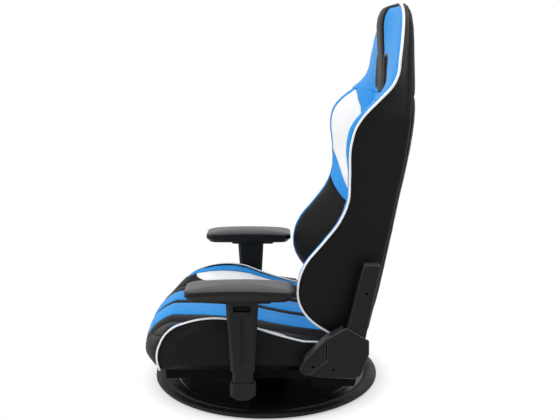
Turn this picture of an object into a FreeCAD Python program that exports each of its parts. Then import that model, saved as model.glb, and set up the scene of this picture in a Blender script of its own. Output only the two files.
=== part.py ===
import FreeCAD
import Part

import math
import os

from FreeCAD import Vector

# Floor gaming chair: a swivelling disc base, a bucket seat, a reclining winged back and two
# adjustable armrests. Millimetres, +Z up. The chair faces -Y and +X is the sitter's left.
# The origin is on the floor, on the swivel axis. Paired pieces are drawn on the left and mirrored.

# Clearances
overrun = 20.0
soft_gap = 0.3
face_gap = 0.2
slide_gap = 0.4
running_gap = 0.05
seam_gap = 0.4

# Disc base
disc_radius = 294.0
disc_rim_height = 16.0
disc_rim_width = 30.0
disc_rim_round = 10.0
disc_rim_crown_share = 0.75
disc_skirt_lift = 1.0
disc_skirt_width = 5.5
disc_panel_height = 6.0
felt_inset = 2.0
felt_thickness = 2.0
plate_inset = 12.0
plate_thickness = 3.0
base_screw_count = 8
base_screw_inset = 32.0
base_screw_radius = 2.0
base_screw_head_radius = 4.0
base_screw_length = 7.0

# Swivel bearing and its stud
ball_radius = 4.0
ball_count = 16
ball_circle = 36.0
groove_gap = 0.15
race_inner_radius = 27.0
race_outer_radius = 45.0
race_thickness = 4.0
race_floor = 1.5
cage_thickness = 1.5
cage_margin = 2.0
bearing_well_gap = 2.0
stud_radius = 8.0
stud_head_radius = 14.0
stud_length = 38.0
swivel_washer_radius = 17.0
swivel_washer_thickness = 2.5
swivel_nut_width = 24.0
swivel_nut_height = 11.0

# Pedestal between the bearing and the seat frame
pedestal_foot_radius = 75.0
pedestal_foot_thickness = 4.0
pedestal_low_radius = 57.0
pedestal_high_radius = 49.0
pedestal_wall = 4.0
pedestal_flange_radius = 100.0
pedestal_flange_thickness = 4.0
pedestal_bolt_x = 70.0

# Bolts shared by the frames
bolt_radius = 4.0
bolt_head_radius = 6.5
bolt_head_height = 5.3
bolt_hole_gap = 0.25
bolt_reach = 10.0

# Seat frame
seat_frame_bottom = 74.0
tube_size = 25.0
tube_wall = 1.5
rail_x = 205.0
rail_front = -238.0
rail_rear = 205.0
cross_tube_spread = 50.0
rear_tube_y = 190.0
board_thickness = 4.7
board_margin = 8.0
board_corner = 30.0

# Seat cushion, from the floor's level; the crest is the piped edge of the bolsters
seat_bottom = 104.0
seat_rear = 236.0
seat_length = 542.0
crest_rise = 132.0
crest_x = 240.0
valley_x = 150.0
seat_side_x = 250.0
bolster_inner_steps = 7
bolster_side_steps = 5
bolster_side_power = 0.6
# Side outlines as (length share from the nose, height share of the crest's rise). Each has its
# underside's front corner, five arcs of a middle and an end point, and the rear corner.
centre_shares = [
    (0.039, 0.0), (0.0, 0.18), (0.011, 0.35), (0.054, 0.56), (0.125, 0.72), (0.325, 0.70),
    (0.53, 0.614), (0.694, 0.47), (0.86, 0.386), (0.967, 0.326), (1.0, 0.18), (1.0, 0.0),
]
valley_shares = [
    (0.055, 0.0), (0.018, 0.18), (0.028, 0.34), (0.068, 0.53), (0.135, 0.68), (0.325, 0.66),
    (0.53, 0.575), (0.694, 0.45), (0.86, 0.375), (0.967, 0.32), (1.0, 0.18), (1.0, 0.0),
]
crest_shares = [
    (0.103, 0.0), (0.09, 0.235), (0.105, 0.504), (0.137, 0.75), (0.194, 0.894), (0.325, 1.0),
    (0.454, 0.924), (0.587, 0.72), (0.74, 0.553), (0.915, 0.48), (1.0, 0.197), (1.0, 0.0),
]
side_shares = [
    (0.186, 0.12), (0.166, 0.29), (0.181, 0.485), (0.214, 0.65), (0.26, 0.74), (0.343, 0.795),
    (0.445, 0.727), (0.528, 0.62), (0.592, 0.5), (0.624, 0.41), (0.635, 0.27), (0.62, 0.12),
]

# Backrest, upright
back_bottom = 190.0
back_height = 770.0
wing_front = 79.0
back_thickness = 100.0
waist_flare = 12.0
shoulder_half_width = 305.0
core_half_width = 128.0
core_crown = 4.0
rear_radius = 1110.0
crest_round = 14.0
corner_round = 16.0
inner_bulge_share = 0.045
outer_bulge_share = 0.012
# Rows from the bottom up: height share, crest x share of the half width, crest y share of the way
# from the wings' front to the frame's line, the centre's reach ahead of that line and behind it as
# shares of the thickness, x share of the rear corner. The waist has a half width of its own.
waist_rows_shares = [
    (0.0, 0.916, 0.566, 0.345, 0.315, 0.886),
    (0.05, 0.955, 0.223, 0.422, 0.317, 0.889),
    (0.11, 0.987, 0.029, 0.502, 0.349, 0.896),
    (0.17, 1.0, 0.0, 0.56, 0.354, 0.901),
    (0.235, 1.0, 0.086, 0.582, 0.359, 0.901),
    (0.30, 1.002, 0.281, 0.579, 0.362, 0.901),
    (0.36, 1.015, 0.433, 0.569, 0.364, 0.905),
    (0.42, 1.03, 0.504, 0.559, 0.36, 0.916),
]
shoulder_rows_shares = [
    (0.50, 0.925, 0.487, 0.518, 0.37, 0.813),
    (0.60, 0.982, 0.456, 0.5, 0.348, 0.856),
    (0.65, 0.997, 0.486, 0.501, 0.319, 0.869),
    (0.682, 0.99, 0.547, 0.496, 0.285, 0.857),
    (0.721, 0.951, 0.673, 0.457, 0.279, 0.82),
]
head_rows_shares = [
    (0.721, 0.951, 0.673, 0.457, 0.279, 0.82),
    (0.76, 0.919, 0.791, 0.446, 0.263, 0.78),
    (0.792, 0.902, 0.838, 0.446, 0.248, 0.754),
    (0.831, 0.879, 0.855, 0.457, 0.234, 0.728),
    (0.87, 0.839, 0.873, 0.477, 0.223, 0.695),
    (0.909, 0.774, 0.891, 0.496, 0.206, 0.639),
    (0.942, 0.695, 0.907, 0.502, 0.178, 0.574),
    (0.968, 0.597, 0.918, 0.46, 0.142, 0.48),
    (0.987, 0.459, 0.928, 0.367, 0.083, 0.361),
    (1.0, 0.28, 0.937, 0.204, 0.01, 0.21),
]
head_panel_share = 0.44

# Belt slots through the head
slot_x = 84.0
slot_rise = 52.0
slot_height = 84.0
slot_width = 36.0
slot_wall = 2.5

# Recline pivot and the lean of the hinge arms
pivot_y = 198.0
pivot_z = 150.0
lean = math.radians(11.5)
pivot_radius = 8.0
pivot_head_radius = 12.0
pivot_head_height = 6.5
pivot_nut_width = 19.0

# Hinge bracket, arm and covers, by their places across the chair
bracket_seat_gap = 0.5
bracket_thickness = 5.0
bracket_length = 141.0
bracket_foot_inner_x = 190.0
bracket_foot_thickness = 4.0
bracket_bolt_spread = 60.0
# The bracket's outline about the pivot: y, z and corner radius as shares of its length
bracket_shares = [
    (-1.0, -0.426, 0.03), (-1.0, -0.277, 0.05), (-0.80, -0.277, 0.05), (-0.70, -0.15, 0.08),
    (-0.21, 0.21, 0.19), (0.21, 0.21, 0.19), (0.19, -0.2, 0.1), (0.10, -0.567, 0.0),
    (-0.62, -0.567, 0.0), (-0.62, -0.426, 0.03),
]
bracket_foot_shares = (-0.62, 0.10)
hinge_washer_thickness = 1.5
hinge_arm_thickness = 5.0
hinge_arm_radius = 27.0
hinge_arm_corner = 10.0
frame_bar_offset = 12.0
frame_bar_inset = 21.5
frame_bar_spacing = 95.0
frame_bolt_length = 24.0
arm_cover_height = 18.0
arm_cover_wall = 2.5
arm_cover_bevel = 5.0
arm_cover_length = 237.0
arm_cover_width = 48.0
arm_cover_gap = 1.1
# The arm cover's outline along and across the leaning arm, as shares of its length and width, and
# corner radii as shares of its width
arm_cover_shares = [
    (0.19, 0.548, 0.1), (0.98, 0.459, 0.15), (0.95, -0.336, 0.0), (0.894, -0.365, 0.0),
    (0.265, -0.454, 0.1),
]
arm_cover_screw_shares = (0.675, 0.089)
hinge_cover_outer_x = 285.0
hinge_cover_wall = 2.5
hinge_cover_bevel = 2.0
hinge_cover_length = 164.0
# Cover outlines about the pivot: y, z and corner radius as shares of the cover's length
main_cover_shares = [
    (-0.332, 0.299, 0.0), (-0.049, 0.463, 0.04), (0.216, 0.299, 0.01), (0.268, 0.271, 0.03),
    (0.272, 0.067, 0.05), (0.165, -0.25, 0.07), (0.073, -0.308, 0.07), (-0.463, -0.28, 0.02),
    (-0.60, -0.25, 0.0), (-0.329, -0.024, 0.0),
]
front_cover_shares = [
    (-0.332, 0.299, 0.0), (-0.329, -0.024, 0.0), (-0.60, -0.25, 0.0), (-0.622, -0.256, 0.02),
    (-0.726, -0.192, 0.05), (-0.643, -0.018, 0.06),
]
cover_sweep_shares = (-0.095, -0.235)
lever_mouth_share = -0.06
cover_screw_shares = [(-0.226, -0.162), (-0.518, -0.122)]
cover_screw_radius = 2.0
cover_screw_head_radius = 3.6
cover_screw_head_height = 2.5
cover_boss_radius = 6.0
cover_recess = 3.0

# Spiral return spring on the left, recliner housing and lever on the right
spring_hub_radius = 10.0
spring_turns = 3
spring_pitch = 4.5
spring_strip = 1.8
spring_width = 6.0
recliner_radius = 30.0
recliner_rim = 4.0
recliner_thickness = 11.0
lever_thickness = 4.0
lever_hub_radius = 12.0
lever_bar_width = 14.0
lever_bar_length = 118.0
lever_rise = math.radians(8.0)
lever_clip_thickness = 1.6
grip_start = 112.0
grip_length = 80.0
grip_width = 22.0
grip_thickness = 14.0
grip_round = 3.0

# Back frame of round tube
frame_tube_radius = 8.0
frame_tube_slope = 0.185
upright_x = 100.0
upright_bottom_inset = 15.0
frame_top_inset = 30.0
head_post_x = 45.0
head_post_inset = 60.0
strap_count = 4
strap_first_z = 410.0
strap_top_inset = 65.0
strap_width = 50.0
strap_thickness = 2.0

# Armrests
arm_x = 280.0
arm_y = -50.0
arm_bar_inner_x = 110.0
arm_bar_outer_x = 292.0
arm_bar_width = 44.0
arm_bar_thickness = 8.0
arm_bar_bolts = (130.0, 165.0)
arm_base_bottom = 51.0
arm_base_top = 91.0
arm_base_half_x = 18.0
arm_base_half_y = 30.0
arm_base_bevel = 8.0
arm_base_taper = 10.0
post_half_x = 13.0
post_half_y = 24.2
post_bevel = 7.0
post_top = 238.0
sleeve_bottom = 121.0
sleeve_top = 290.0
sleeve_low_half_x = 17.0
sleeve_low_half_y = 27.8
sleeve_high_half_x = 20.0
sleeve_high_half_y = 37.5
sleeve_bevel = 8.0
sleeve_cavity_top = 263.0
sleeve_groove_width = 8.0
sleeve_groove_depth = 1.5
sleeve_groove_bottom = 140.0
sleeve_groove_top = 255.0
button_width = 38.0
button_height = 13.0
button_proud = 1.2
button_depth = 6.5
button_travel = 3.0
button_z = 275.0
carrier_half_x = 25.0
carrier_front = -106.0
carrier_rear = 17.0
carrier_thickness = 6.3
carrier_corner = 10.0
carrier_travel = 40.0
key_half_width = 5.0
key_depth = 9.0
key_front = -43.0
key_length = 22.0
pad_pivot_radius = 9.0
pad_pivot_height = 8.0
pad_base_side_inset = 12.0
pad_base_end_inset = 17.0
pad_base_thickness = 9.0
pad_base_corner = 22.0
pad_length = 248.0
pad_half_width = 46.0
pad_height = 35.0
pad_wing_gap = 11.0
pad_corner = 26.0
# Levels of the arm pad from its underside: height share, inset as a share of the pad's half width
pad_level_shares = [(0.0, 0.17), (0.22, 0.0), (0.66, 0.0), (0.9, 0.07), (1.0, 0.19)]

# Radii of the disc's hidden pieces, from its edge inward
plate_radius = disc_radius - plate_inset
felt_radius = plate_radius - felt_inset
base_screw_circle = plate_radius - base_screw_inset

# Levels of the stack, from the floor up
plate_top = felt_thickness + plate_thickness
disc_panel_top = plate_top + disc_panel_height
ball_z = plate_top + race_floor + groove_gap + ball_radius
upper_race_top = 2 * ball_z - plate_top
pedestal_foot_top = upper_race_top + pedestal_foot_thickness
seat_frame_top = seat_frame_bottom + tube_size
flange_bottom = seat_frame_bottom - pedestal_flange_thickness
arm_bar_bottom = seat_frame_bottom - arm_bar_thickness
seat_front = seat_rear - seat_length

# Rows of the back with the half width that each follows
waist_half_width = seat_side_x + waist_flare
back_rows = [(waist_half_width,) + row for row in waist_rows_shares]
back_rows += [(shoulder_half_width,) + row for row in shoulder_rows_shares]
head_rows = [(shoulder_half_width,) + row for row in head_rows_shares]

# Levels of the back and its frame
head_joint_z = back_bottom + head_rows_shares[0][0] * back_height
upright_bottom = back_bottom + upright_bottom_inset
frame_top_bar_z = head_joint_z - frame_top_inset
head_post_top = back_bottom + back_height - head_post_inset
slot_z = head_joint_z + slot_rise
strap_spacing = (frame_top_bar_z - strap_top_inset - strap_first_z) / (strap_count - 1)

# The leaning hinge arm inside its cover, and the cross bars bolted to it
hinge_arm_top = arm_cover_shares[2][0] * arm_cover_length - arm_cover_wall - arm_cover_gap
hinge_arm_front = arm_cover_shares[2][1] * arm_cover_width + arm_cover_wall + arm_cover_gap
hinge_arm_rear = arm_cover_shares[1][1] * arm_cover_width - arm_cover_wall - arm_cover_gap
frame_bar_top = hinge_arm_top - frame_bar_inset
frame_bar_heights = (frame_bar_top - frame_bar_spacing, frame_bar_top)

# The arm pad's place, clear of the wing behind it, and the base inside it
pad_centre_y = wing_front - pad_wing_gap - pad_length / 2
pad_base_half_x = pad_half_width - pad_base_side_inset
pad_base_length = pad_length - 2 * pad_base_end_inset

# Places across the hinge, from the bracket outward
bracket_inner_x = seat_side_x + bracket_seat_gap
bracket_outer_x = bracket_inner_x + bracket_thickness
hinge_arm_inner_x = bracket_outer_x + hinge_washer_thickness
hinge_arm_outer_x = hinge_arm_inner_x + hinge_arm_thickness
hinge_cover_inner_x = hinge_cover_outer_x - hinge_cover_wall
arm_cover_outer_x = hinge_arm_outer_x + arm_cover_height
recliner_inner_x = hinge_arm_outer_x + face_gap
lever_inner_x = recliner_inner_x + recliner_thickness + face_gap
lever_outer_x = lever_inner_x + lever_thickness


def mirrored(shape):
    """The right-hand twin of a left-hand shape."""
    return shape.mirror(Vector(0, 0, 0), Vector(1, 0, 0))


def save(name, *solids):
    """Writes one node; several solids make a group."""
    shape = solids[0] if len(solids) == 1 else Part.makeCompound(list(solids))
    shape.exportStep("parts/" + name + ".step")


def save_pair(name, shape):
    save(name + "_left", shape)
    save(name + "_right", mirrored(shape))


def block(low, high):
    """A box between two corners."""
    size = Vector(*high) - Vector(*low)
    return Part.makeBox(size.x, size.y, size.z, Vector(*low))


def rod(start, end, radius):
    start, end = Vector(*start), Vector(*end)
    return Part.makeCylinder(radius, (end - start).Length, start, end - start)


def ring(start, end, outer, inner):
    return rod(start, end, outer).cut(rod(start, end, inner))


def line(start, end):
    return Part.LineSegment(start, end).toShape()


def arc(start, middle, end):
    return Part.Arc(start, middle, end).toShape()


def hexagon(start, end, width):
    """A hexagonal prism between two points, measured across its flats."""
    start, end = Vector(*start), Vector(*end)
    axis = (end - start).normalize()
    side = axis.cross(Vector(0, 1, 0))
    if side.Length < abs(axis.y):
        side = axis.cross(Vector(0, 0, 1))
    side.normalize()
    other = axis.cross(side)
    reach = width / math.sqrt(3)
    angles = [math.radians(60 * i) for i in range(7)]
    corners = [start + side * (reach * math.cos(a)) + other * (reach * math.sin(a)) for a in angles]
    return Part.Face(Part.makePolygon(corners)).extrude(Vector(*end) - start)


def rounded_wire(corners, place):
    """A closed outline with straight sides. Corners are (u, v, radius), and place makes points."""
    stops = []
    for i, (u, v, radius) in enumerate(corners):
        here = Vector(u, v, 0)
        before = Vector(corners[i - 1][0], corners[i - 1][1], 0)
        after = Vector(corners[(i + 1) % len(corners)][0], corners[(i + 1) % len(corners)][1], 0)
        back = (before - here).normalize()
        ahead = (after - here).normalize()
        half = back.getAngle(ahead) / 2
        if radius > 0:
            reach = radius / math.tan(half)
            bisector = (back + ahead).normalize()
            middle = here + bisector * (radius / math.sin(half) - radius)
            stops.append((here + back * reach, middle, here + ahead * reach))
        else:
            stops.append((here, None, here))
    edges = []
    for i, (start, middle, end) in enumerate(stops):
        if middle is not None:
            edges.append(arc(place(start), place(middle), place(end)))
        edges.append(line(place(end), place(stops[(i + 1) % len(stops)][0])))
    return Part.Wire(edges)


def side_plate(corners, low_x, high_x):
    """A plate parallel to the chair's side, from (y, z, radius) corners."""
    wire = rounded_wire(corners, lambda point: Vector(low_x, point.x, point.y))
    return Part.Face(wire).extrude(Vector(high_x - low_x, 0, 0))


def flat_wire(half_x, half_y, corner, z, centre_x, centre_y):
    """A rounded rectangle at one height."""
    corners = [
        (centre_x - half_x, centre_y - half_y, corner), (centre_x + half_x, centre_y - half_y, corner),
        (centre_x + half_x, centre_y + half_y, corner), (centre_x - half_x, centre_y + half_y, corner),
    ]
    return rounded_wire(corners, lambda point: Vector(point.x, point.y, z))


def flat_plate(half_x, half_y, corner, low_z, high_z, centre_x, centre_y):
    wire = flat_wire(half_x, half_y, corner, low_z, centre_x, centre_y)
    return Part.Face(wire).extrude(Vector(0, 0, high_z - low_z))


def bevelled_wire(half_x, half_y, bevel, z):
    """An armrest section: a rectangle about the arm's axis with its four corners cut off."""
    points = []
    for sign_x, sign_y, swap in ((-1, -1, 0), (1, -1, 1), (1, 1, 0), (-1, 1, 1)):
        along_x = Vector(arm_x + sign_x * (half_x - bevel), arm_y + sign_y * half_y, z)
        along_y = Vector(arm_x + sign_x * half_x, arm_y + sign_y * (half_y - bevel), z)
        points += [along_x, along_y] if swap else [along_y, along_x]
    return Part.makePolygon(points + points[:1])


def spun(outline):
    """A solid of revolution about the swivel axis from (radius, z) points. An entry of four values
    is an arc's middle and end."""
    edges = []
    for start, end in zip(outline, outline[1:] + outline[:1]):
        places = [Vector(end[i], 0, end[i + 1]) for i in range(0, len(end), 2)]
        first = Vector(start[-2], 0, start[-1])
        edges.append(arc(first, *places) if len(places) == 2 else line(first, *places))
    return Part.Face(Part.Wire(edges)).revolve(Vector(0, 0, 0), Vector(0, 0, 1), 360)


def about_pivot(shares, length):
    """Outline corners about the recline pivot from shares of one length."""
    return [(pivot_y + y * length, pivot_z + z * length, radius * length) for y, z, radius in shares]


def leaning(up, across):
    """The (y, z) of a point given along and across the leaning hinge arm."""
    y = pivot_y + up * math.sin(lean) + across * math.cos(lean)
    z = pivot_z + up * math.cos(lean) - across * math.sin(lean)
    return y, z


def bolt(head, tip, radius=bolt_radius, head_radius=bolt_head_radius, head_height=bolt_head_height):
    """A bolt whose head's underside is at head and whose shank ends at tip."""
    axis = (Vector(*head) - Vector(*tip)).normalize()
    crown = Vector(*head) + axis * head_height
    return rod(tip, head, radius).fuse(rod(head, crown, head_radius)).removeSplitter()


def make_base():
    """Felt, steel plate, padded cover and screws of the disc."""
    save("floor_pad", rod((0, 0, 0), (0, 0, felt_thickness), felt_radius))
    plate = rod((0, 0, felt_thickness), (0, 0, plate_top), plate_radius)
    stud_hole = Part.makeCone(stud_head_radius + running_gap, stud_radius + running_gap,
                              plate_thickness, Vector(0, 0, felt_thickness))
    plate = plate.cut(stud_hole)

    well = race_outer_radius + bearing_well_gap
    rim_peak = disc_radius - disc_rim_round
    inner_rim = disc_radius - disc_rim_width
    rim_slope = (disc_rim_height - disc_panel_top) * disc_rim_crown_share
    cover = spun([
        (well, plate_top), (plate_radius + soft_gap, plate_top),
        (plate_radius + soft_gap, disc_skirt_lift), (disc_radius - disc_skirt_width, disc_skirt_lift),
        (disc_radius, disc_rim_height / 2, rim_peak, disc_rim_height),
        ((rim_peak + inner_rim) / 2, disc_panel_top + rim_slope, inner_rim, disc_panel_top),
        (well, disc_panel_top),
    ])
    screws = []
    for i in range(base_screw_count):
        angle = 2 * math.pi * i / base_screw_count
        x, y = base_screw_circle * math.cos(angle), base_screw_circle * math.sin(angle)
        tip = (x, y, felt_thickness + base_screw_length)
        head = Part.makeCone(base_screw_head_radius, base_screw_radius, base_screw_radius,
                             Vector(x, y, felt_thickness))
        screw = head.fuse(rod((x, y, felt_thickness), tip, base_screw_radius)).removeSplitter()
        screws.append(screw)
        plate = plate.cut(screw)
        cover = cover.cut(screw)
    save("base_plate", plate)
    save("base_cover", cover)
    save("base_screws", *screws)


def make_bearing():
    """Two grooved races with caged balls, the central stud and its nut."""
    race = ring((0, 0, plate_top), (0, 0, plate_top + race_thickness), race_outer_radius,
                race_inner_radius)
    groove = Part.makeTorus(ball_circle, ball_radius + groove_gap, Vector(0, 0, ball_z))
    lower = race.cut(groove)
    upper = lower.mirror(Vector(0, 0, ball_z), Vector(0, 0, 1))
    save("bearing_lower_race", lower)
    save("bearing_upper_race", upper)
    balls = []
    cage_low, cage_high = ball_z - cage_thickness / 2, ball_z + cage_thickness / 2
    cage = ring((0, 0, cage_low), (0, 0, cage_high), race_outer_radius - cage_margin,
                race_inner_radius + cage_margin)
    for i in range(ball_count):
        angle = 2 * math.pi * i / ball_count
        x, y = ball_circle * math.cos(angle), ball_circle * math.sin(angle)
        balls.append(Part.makeSphere(ball_radius, Vector(x, y, ball_z)))
        cage = cage.cut(rod((x, y, cage_low), (x, y, cage_high), ball_radius + face_gap))
    save("bearing_balls", *balls)
    save("ball_cage", cage)

    head = Part.makeCone(stud_head_radius, stud_radius, plate_thickness, Vector(0, 0, felt_thickness))
    shank = rod((0, 0, felt_thickness), (0, 0, felt_thickness + stud_length), stud_radius)
    save("pivot_stud", head.fuse(shank).removeSplitter())
    washer_low = pedestal_foot_top + running_gap
    washer_high = washer_low + swivel_washer_thickness
    bore = stud_radius + running_gap
    washer = ring((0, 0, washer_low), (0, 0, washer_high), swivel_washer_radius, bore)
    nut_top = (0, 0, washer_high + swivel_nut_height)
    nut = hexagon((0, 0, washer_high), nut_top, swivel_nut_width)
    nut = nut.cut(rod((0, 0, washer_high), nut_top, bore))
    save("swivel_nut", washer, nut)


def pedestal_bolt_places():
    return [(x, y) for x in (-pedestal_bolt_x, pedestal_bolt_x)
            for y in (-cross_tube_spread, cross_tube_spread)]


def make_pedestal():
    """The turned steel column between the swivel bearing and the seat frame."""
    bore = stud_radius + running_gap
    column = spun([
        (bore, upper_race_top), (pedestal_foot_radius, upper_race_top),
        (pedestal_foot_radius, pedestal_foot_top), (pedestal_low_radius, pedestal_foot_top),
        (pedestal_high_radius, flange_bottom), (pedestal_flange_radius, flange_bottom),
        (pedestal_flange_radius, seat_frame_bottom),
        (pedestal_high_radius - pedestal_wall, seat_frame_bottom),
        (pedestal_low_radius - pedestal_wall, pedestal_foot_top), (bore, pedestal_foot_top),
    ])
    bolts = []
    for x, y in pedestal_bolt_places():
        tip = seat_frame_bottom + tube_wall + bolt_reach
        bolts.append(bolt((x, y, flange_bottom), (x, y, tip)))
        hole = rod((x, y, flange_bottom), (x, y, seat_frame_bottom), bolt_radius + bolt_hole_gap)
        column = column.cut(hole)
    save("swivel_pedestal", column)
    save("pedestal_bolts", *bolts)


def square_tube(low, high, along):
    """A square tube between two corners, open along x (0) or y (1)."""
    outer = block(low, high)
    inset = [tube_wall, tube_wall, tube_wall]
    inset[along] = -overrun
    inner = block([a + b for a, b in zip(low, inset)], [a - b for a, b in zip(high, inset)])
    return outer.cut(inner)


def bolt_hole_up(x, y):
    """The hole for a bolt from below through the lower wall of a seat tube."""
    top = seat_frame_bottom + tube_wall + slide_gap
    return rod((x, y, seat_frame_bottom - overrun), (x, y, top), bolt_radius + bolt_hole_gap)


def make_seat_frame():
    """Two side rails, four cross tubes and the board under the cushion."""
    half = tube_size / 2
    rail = square_tube([rail_x - half, rail_front, seat_frame_bottom],
                       [rail_x + half, rail_rear, seat_frame_top], 1)
    for y in bracket_bolt_places():
        rail = rail.cut(bolt_hole_up(rail_x, y))
    save("seat_side_rails", rail, mirrored(rail))
    tubes = []
    reach = rail_x - half
    for y in (rail_front + half, arm_y, cross_tube_spread, rear_tube_y):
        tube = square_tube([-reach, y - half, seat_frame_bottom], [reach, y + half, seat_frame_top], 0)
        for x, bolt_y in pedestal_bolt_places() + arm_bolt_places():
            if abs(bolt_y - y) < half:
                tube = tube.cut(bolt_hole_up(x, bolt_y))
        tubes.append(tube)
    save("seat_cross_tubes", *tubes)

    half_x = rail_x + half + board_margin
    low_y, high_y = rail_front - board_margin, rail_rear + board_margin
    board = flat_plate(half_x, (high_y - low_y) / 2, board_corner, seat_frame_top,
                       seat_frame_top + board_thickness, 0, (low_y + high_y) / 2)
    save("seat_board", board)


def seat_points(shares):
    return [(seat_front + y * seat_length, seat_bottom + z * crest_rise) for y, z in shares]


def blended(first, second, share):
    return [(a[0] + (b[0] - a[0]) * share, a[1] + (b[1] - a[1]) * share)
            for a, b in zip(first, second)]


def seat_wire(points, x):
    """A side outline of the seat at one place across it: five arcs and three straight runs."""
    at = [Vector(x, y, z) for y, z in points]
    edges = [arc(at[i], at[i + 1], at[i + 2]) for i in range(0, 10, 2)]
    edges += [line(at[10], at[11]), line(at[11], at[0])]
    return Part.Wire(edges)


def make_seat_cushion():
    """The crowned centre and the two bolsters, which meet it on flat sides."""
    centre, valley = seat_points(centre_shares), seat_points(valley_shares)
    crest, side = seat_points(crest_shares), seat_points(side_shares)
    edge_x = valley_x - soft_gap
    wires = [seat_wire(valley, -edge_x), seat_wire(centre, 0), seat_wire(valley, edge_x)]
    save("seat_cushion", Part.makeLoft(wires, True, False))
    wires = []
    for i in range(bolster_inner_steps + 1):
        width = i / bolster_inner_steps
        swell = math.sin(width * math.pi / 2)
        wires.append(seat_wire(blended(valley, crest, swell), valley_x + width * (crest_x - valley_x)))
    for i in range(bolster_side_steps):
        width = (i + 1) / bolster_side_steps
        inset = width ** bolster_side_power
        wires.append(seat_wire(blended(crest, side, inset), crest_x + width * (seat_side_x - crest_x)))
    save_pair("seat_bolster", Part.makeLoft(wires, True, True))


def upright_y(z):
    """The line of the back frame's uprights, which touch the lower cross bar from behind."""
    y, bar_z = leaning(frame_bar_heights[0], frame_bar_offset)
    return y + 2 * frame_tube_radius + (z - bar_z) * frame_tube_slope


def back_row(row):
    """Real places of one row: height, crest x and y, centre front and rear y, rear corner x."""
    half_width, height, across, forward, front, rear, corner = row
    z = back_bottom + height * back_height
    frame_y = upright_y(min(z, frame_top_bar_z))
    return (z, across * half_width, wing_front + forward * (frame_y - wing_front),
            frame_y - front * back_thickness, frame_y + rear * back_thickness, corner * half_width)


def rear_y(centre_y, x):
    """The rear falls away from its centre on a wide arc."""
    return centre_y - rear_radius + math.sqrt(rear_radius ** 2 - x ** 2)


def bulged(start, end, share, toward):
    """An arc between two points that swells to one side by a share of its chord."""
    chord = end - start
    normal = chord.cross(Vector(0, 0, 1)).normalize()
    if normal.dot(toward) < 0:
        normal = -normal
    return arc(start, (start + end) / 2 + normal * (chord.Length * share), end)


def crest_points(x, y, z):
    """Inner end, tip and outer end of the rounded crest of a wing."""
    inner = Vector(x - crest_round, y + crest_round / 4, z)
    tip = Vector(x - crest_round / 3, y, z)
    outer = Vector(x, y + crest_round * 2 / 3, z)
    return inner, tip, outer


def corner_points(x, centre_y, z):
    """The rounded rear corner of the back."""
    rear = rear_y(centre_y, x)
    start = Vector(x, rear - corner_round, z)
    bend = corner_round * (1 - math.sqrt(0.5))
    middle = Vector(x - bend, rear - bend, z)
    end = Vector(x - corner_round, rear, z)
    return start, middle, end


def wing_wire(row):
    z, x, y, front, rear, corner_x = back_row(row)
    joint_front = Vector(core_half_width + soft_gap, front + core_crown, z)
    joint_rear = Vector(core_half_width + soft_gap, rear_y(rear, core_half_width), z)
    inner, tip, outer = crest_points(x, y, z)
    start, middle, end = corner_points(corner_x, rear, z)
    return Part.Wire([
        bulged(joint_front, inner, inner_bulge_share, Vector(-1, -1, 0)), arc(inner, tip, outer),
        bulged(outer, start, outer_bulge_share, Vector(1, 0, 0)), arc(start, middle, end),
        line(end, joint_rear), line(joint_rear, joint_front),
    ])


def core_wire(row):
    z, _, _, front, _, _ = back_row(row)
    rear = upright_y(z) - frame_tube_radius - strap_thickness - 2 * soft_gap
    left, right = Vector(core_half_width, front + core_crown, z), Vector(-core_half_width, rear, z)
    far_left, far_right = Vector(left.x, rear, z), Vector(right.x, left.y, z)
    return Part.Wire([
        arc(far_right, Vector(0, front, z), left), line(left, far_left), line(far_left, right),
        line(right, far_right),
    ])


def rear_panel_wire(row):
    z, _, _, _, rear, _ = back_row(row)
    front = upright_y(z) + frame_tube_radius + soft_gap
    edge = rear_y(rear, core_half_width)
    left, right = Vector(core_half_width, edge, z), Vector(-core_half_width, edge, z)
    near_left, near_right = Vector(left.x, front, z), Vector(right.x, front, z)
    return Part.Wire([
        arc(left, Vector(0, rear, z), right), line(right, near_right),
        line(near_right, near_left), line(near_left, left),
    ])


def flip(point):
    return Vector(-point.x, point.y, point.z)


def head_wire(row):
    z, x, y, front, rear, corner_x = back_row(row)
    panel = Vector(head_panel_share * x, front + core_crown, z)
    inner, tip, outer = crest_points(x, y, z)
    start, middle, end = corner_points(corner_x, rear, z)
    side_middle = (panel + inner) / 2 - Vector(0, (inner - panel).Length * inner_bulge_share, 0)
    flank = (outer + start) / 2
    return Part.Wire([
        arc(flip(panel), Vector(0, front, z), panel), arc(panel, side_middle, inner),
        arc(inner, tip, outer), line(outer, flank), line(flank, start), arc(start, middle, end),
        arc(end, Vector(0, rear, z), flip(end)), arc(flip(end), flip(middle), flip(start)),
        line(flip(start), flip(flank)), line(flip(flank), flip(outer)),
        arc(flip(outer), flip(tip), flip(inner)), arc(flip(inner), flip(side_middle), flip(panel)),
    ])


def slot_prism(margin):
    """The belt slot's outline, grown by a margin and run right through the head."""
    half_width = slot_width / 2 + margin
    half_height = slot_height / 2 + margin
    low_y, high_y = wing_front, upright_y(back_bottom + back_height) + overrun
    low = Vector(slot_x, low_y, slot_z - half_height + half_width)
    high = Vector(slot_x, low_y, slot_z + half_height - half_width)
    side = Vector(half_width, 0, 0)
    reach = Vector(0, 0, half_width)
    wire = Part.Wire([
        line(low + side, high + side), arc(high + side, high + reach, high - side),
        line(high - side, low - side), arc(low - side, low - reach, low + side),
    ])
    return Part.Face(wire).extrude(Vector(0, high_y - low_y, 0))


def cross_bar_places():
    return [leaning(up, frame_bar_offset) for up in frame_bar_heights]


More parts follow.
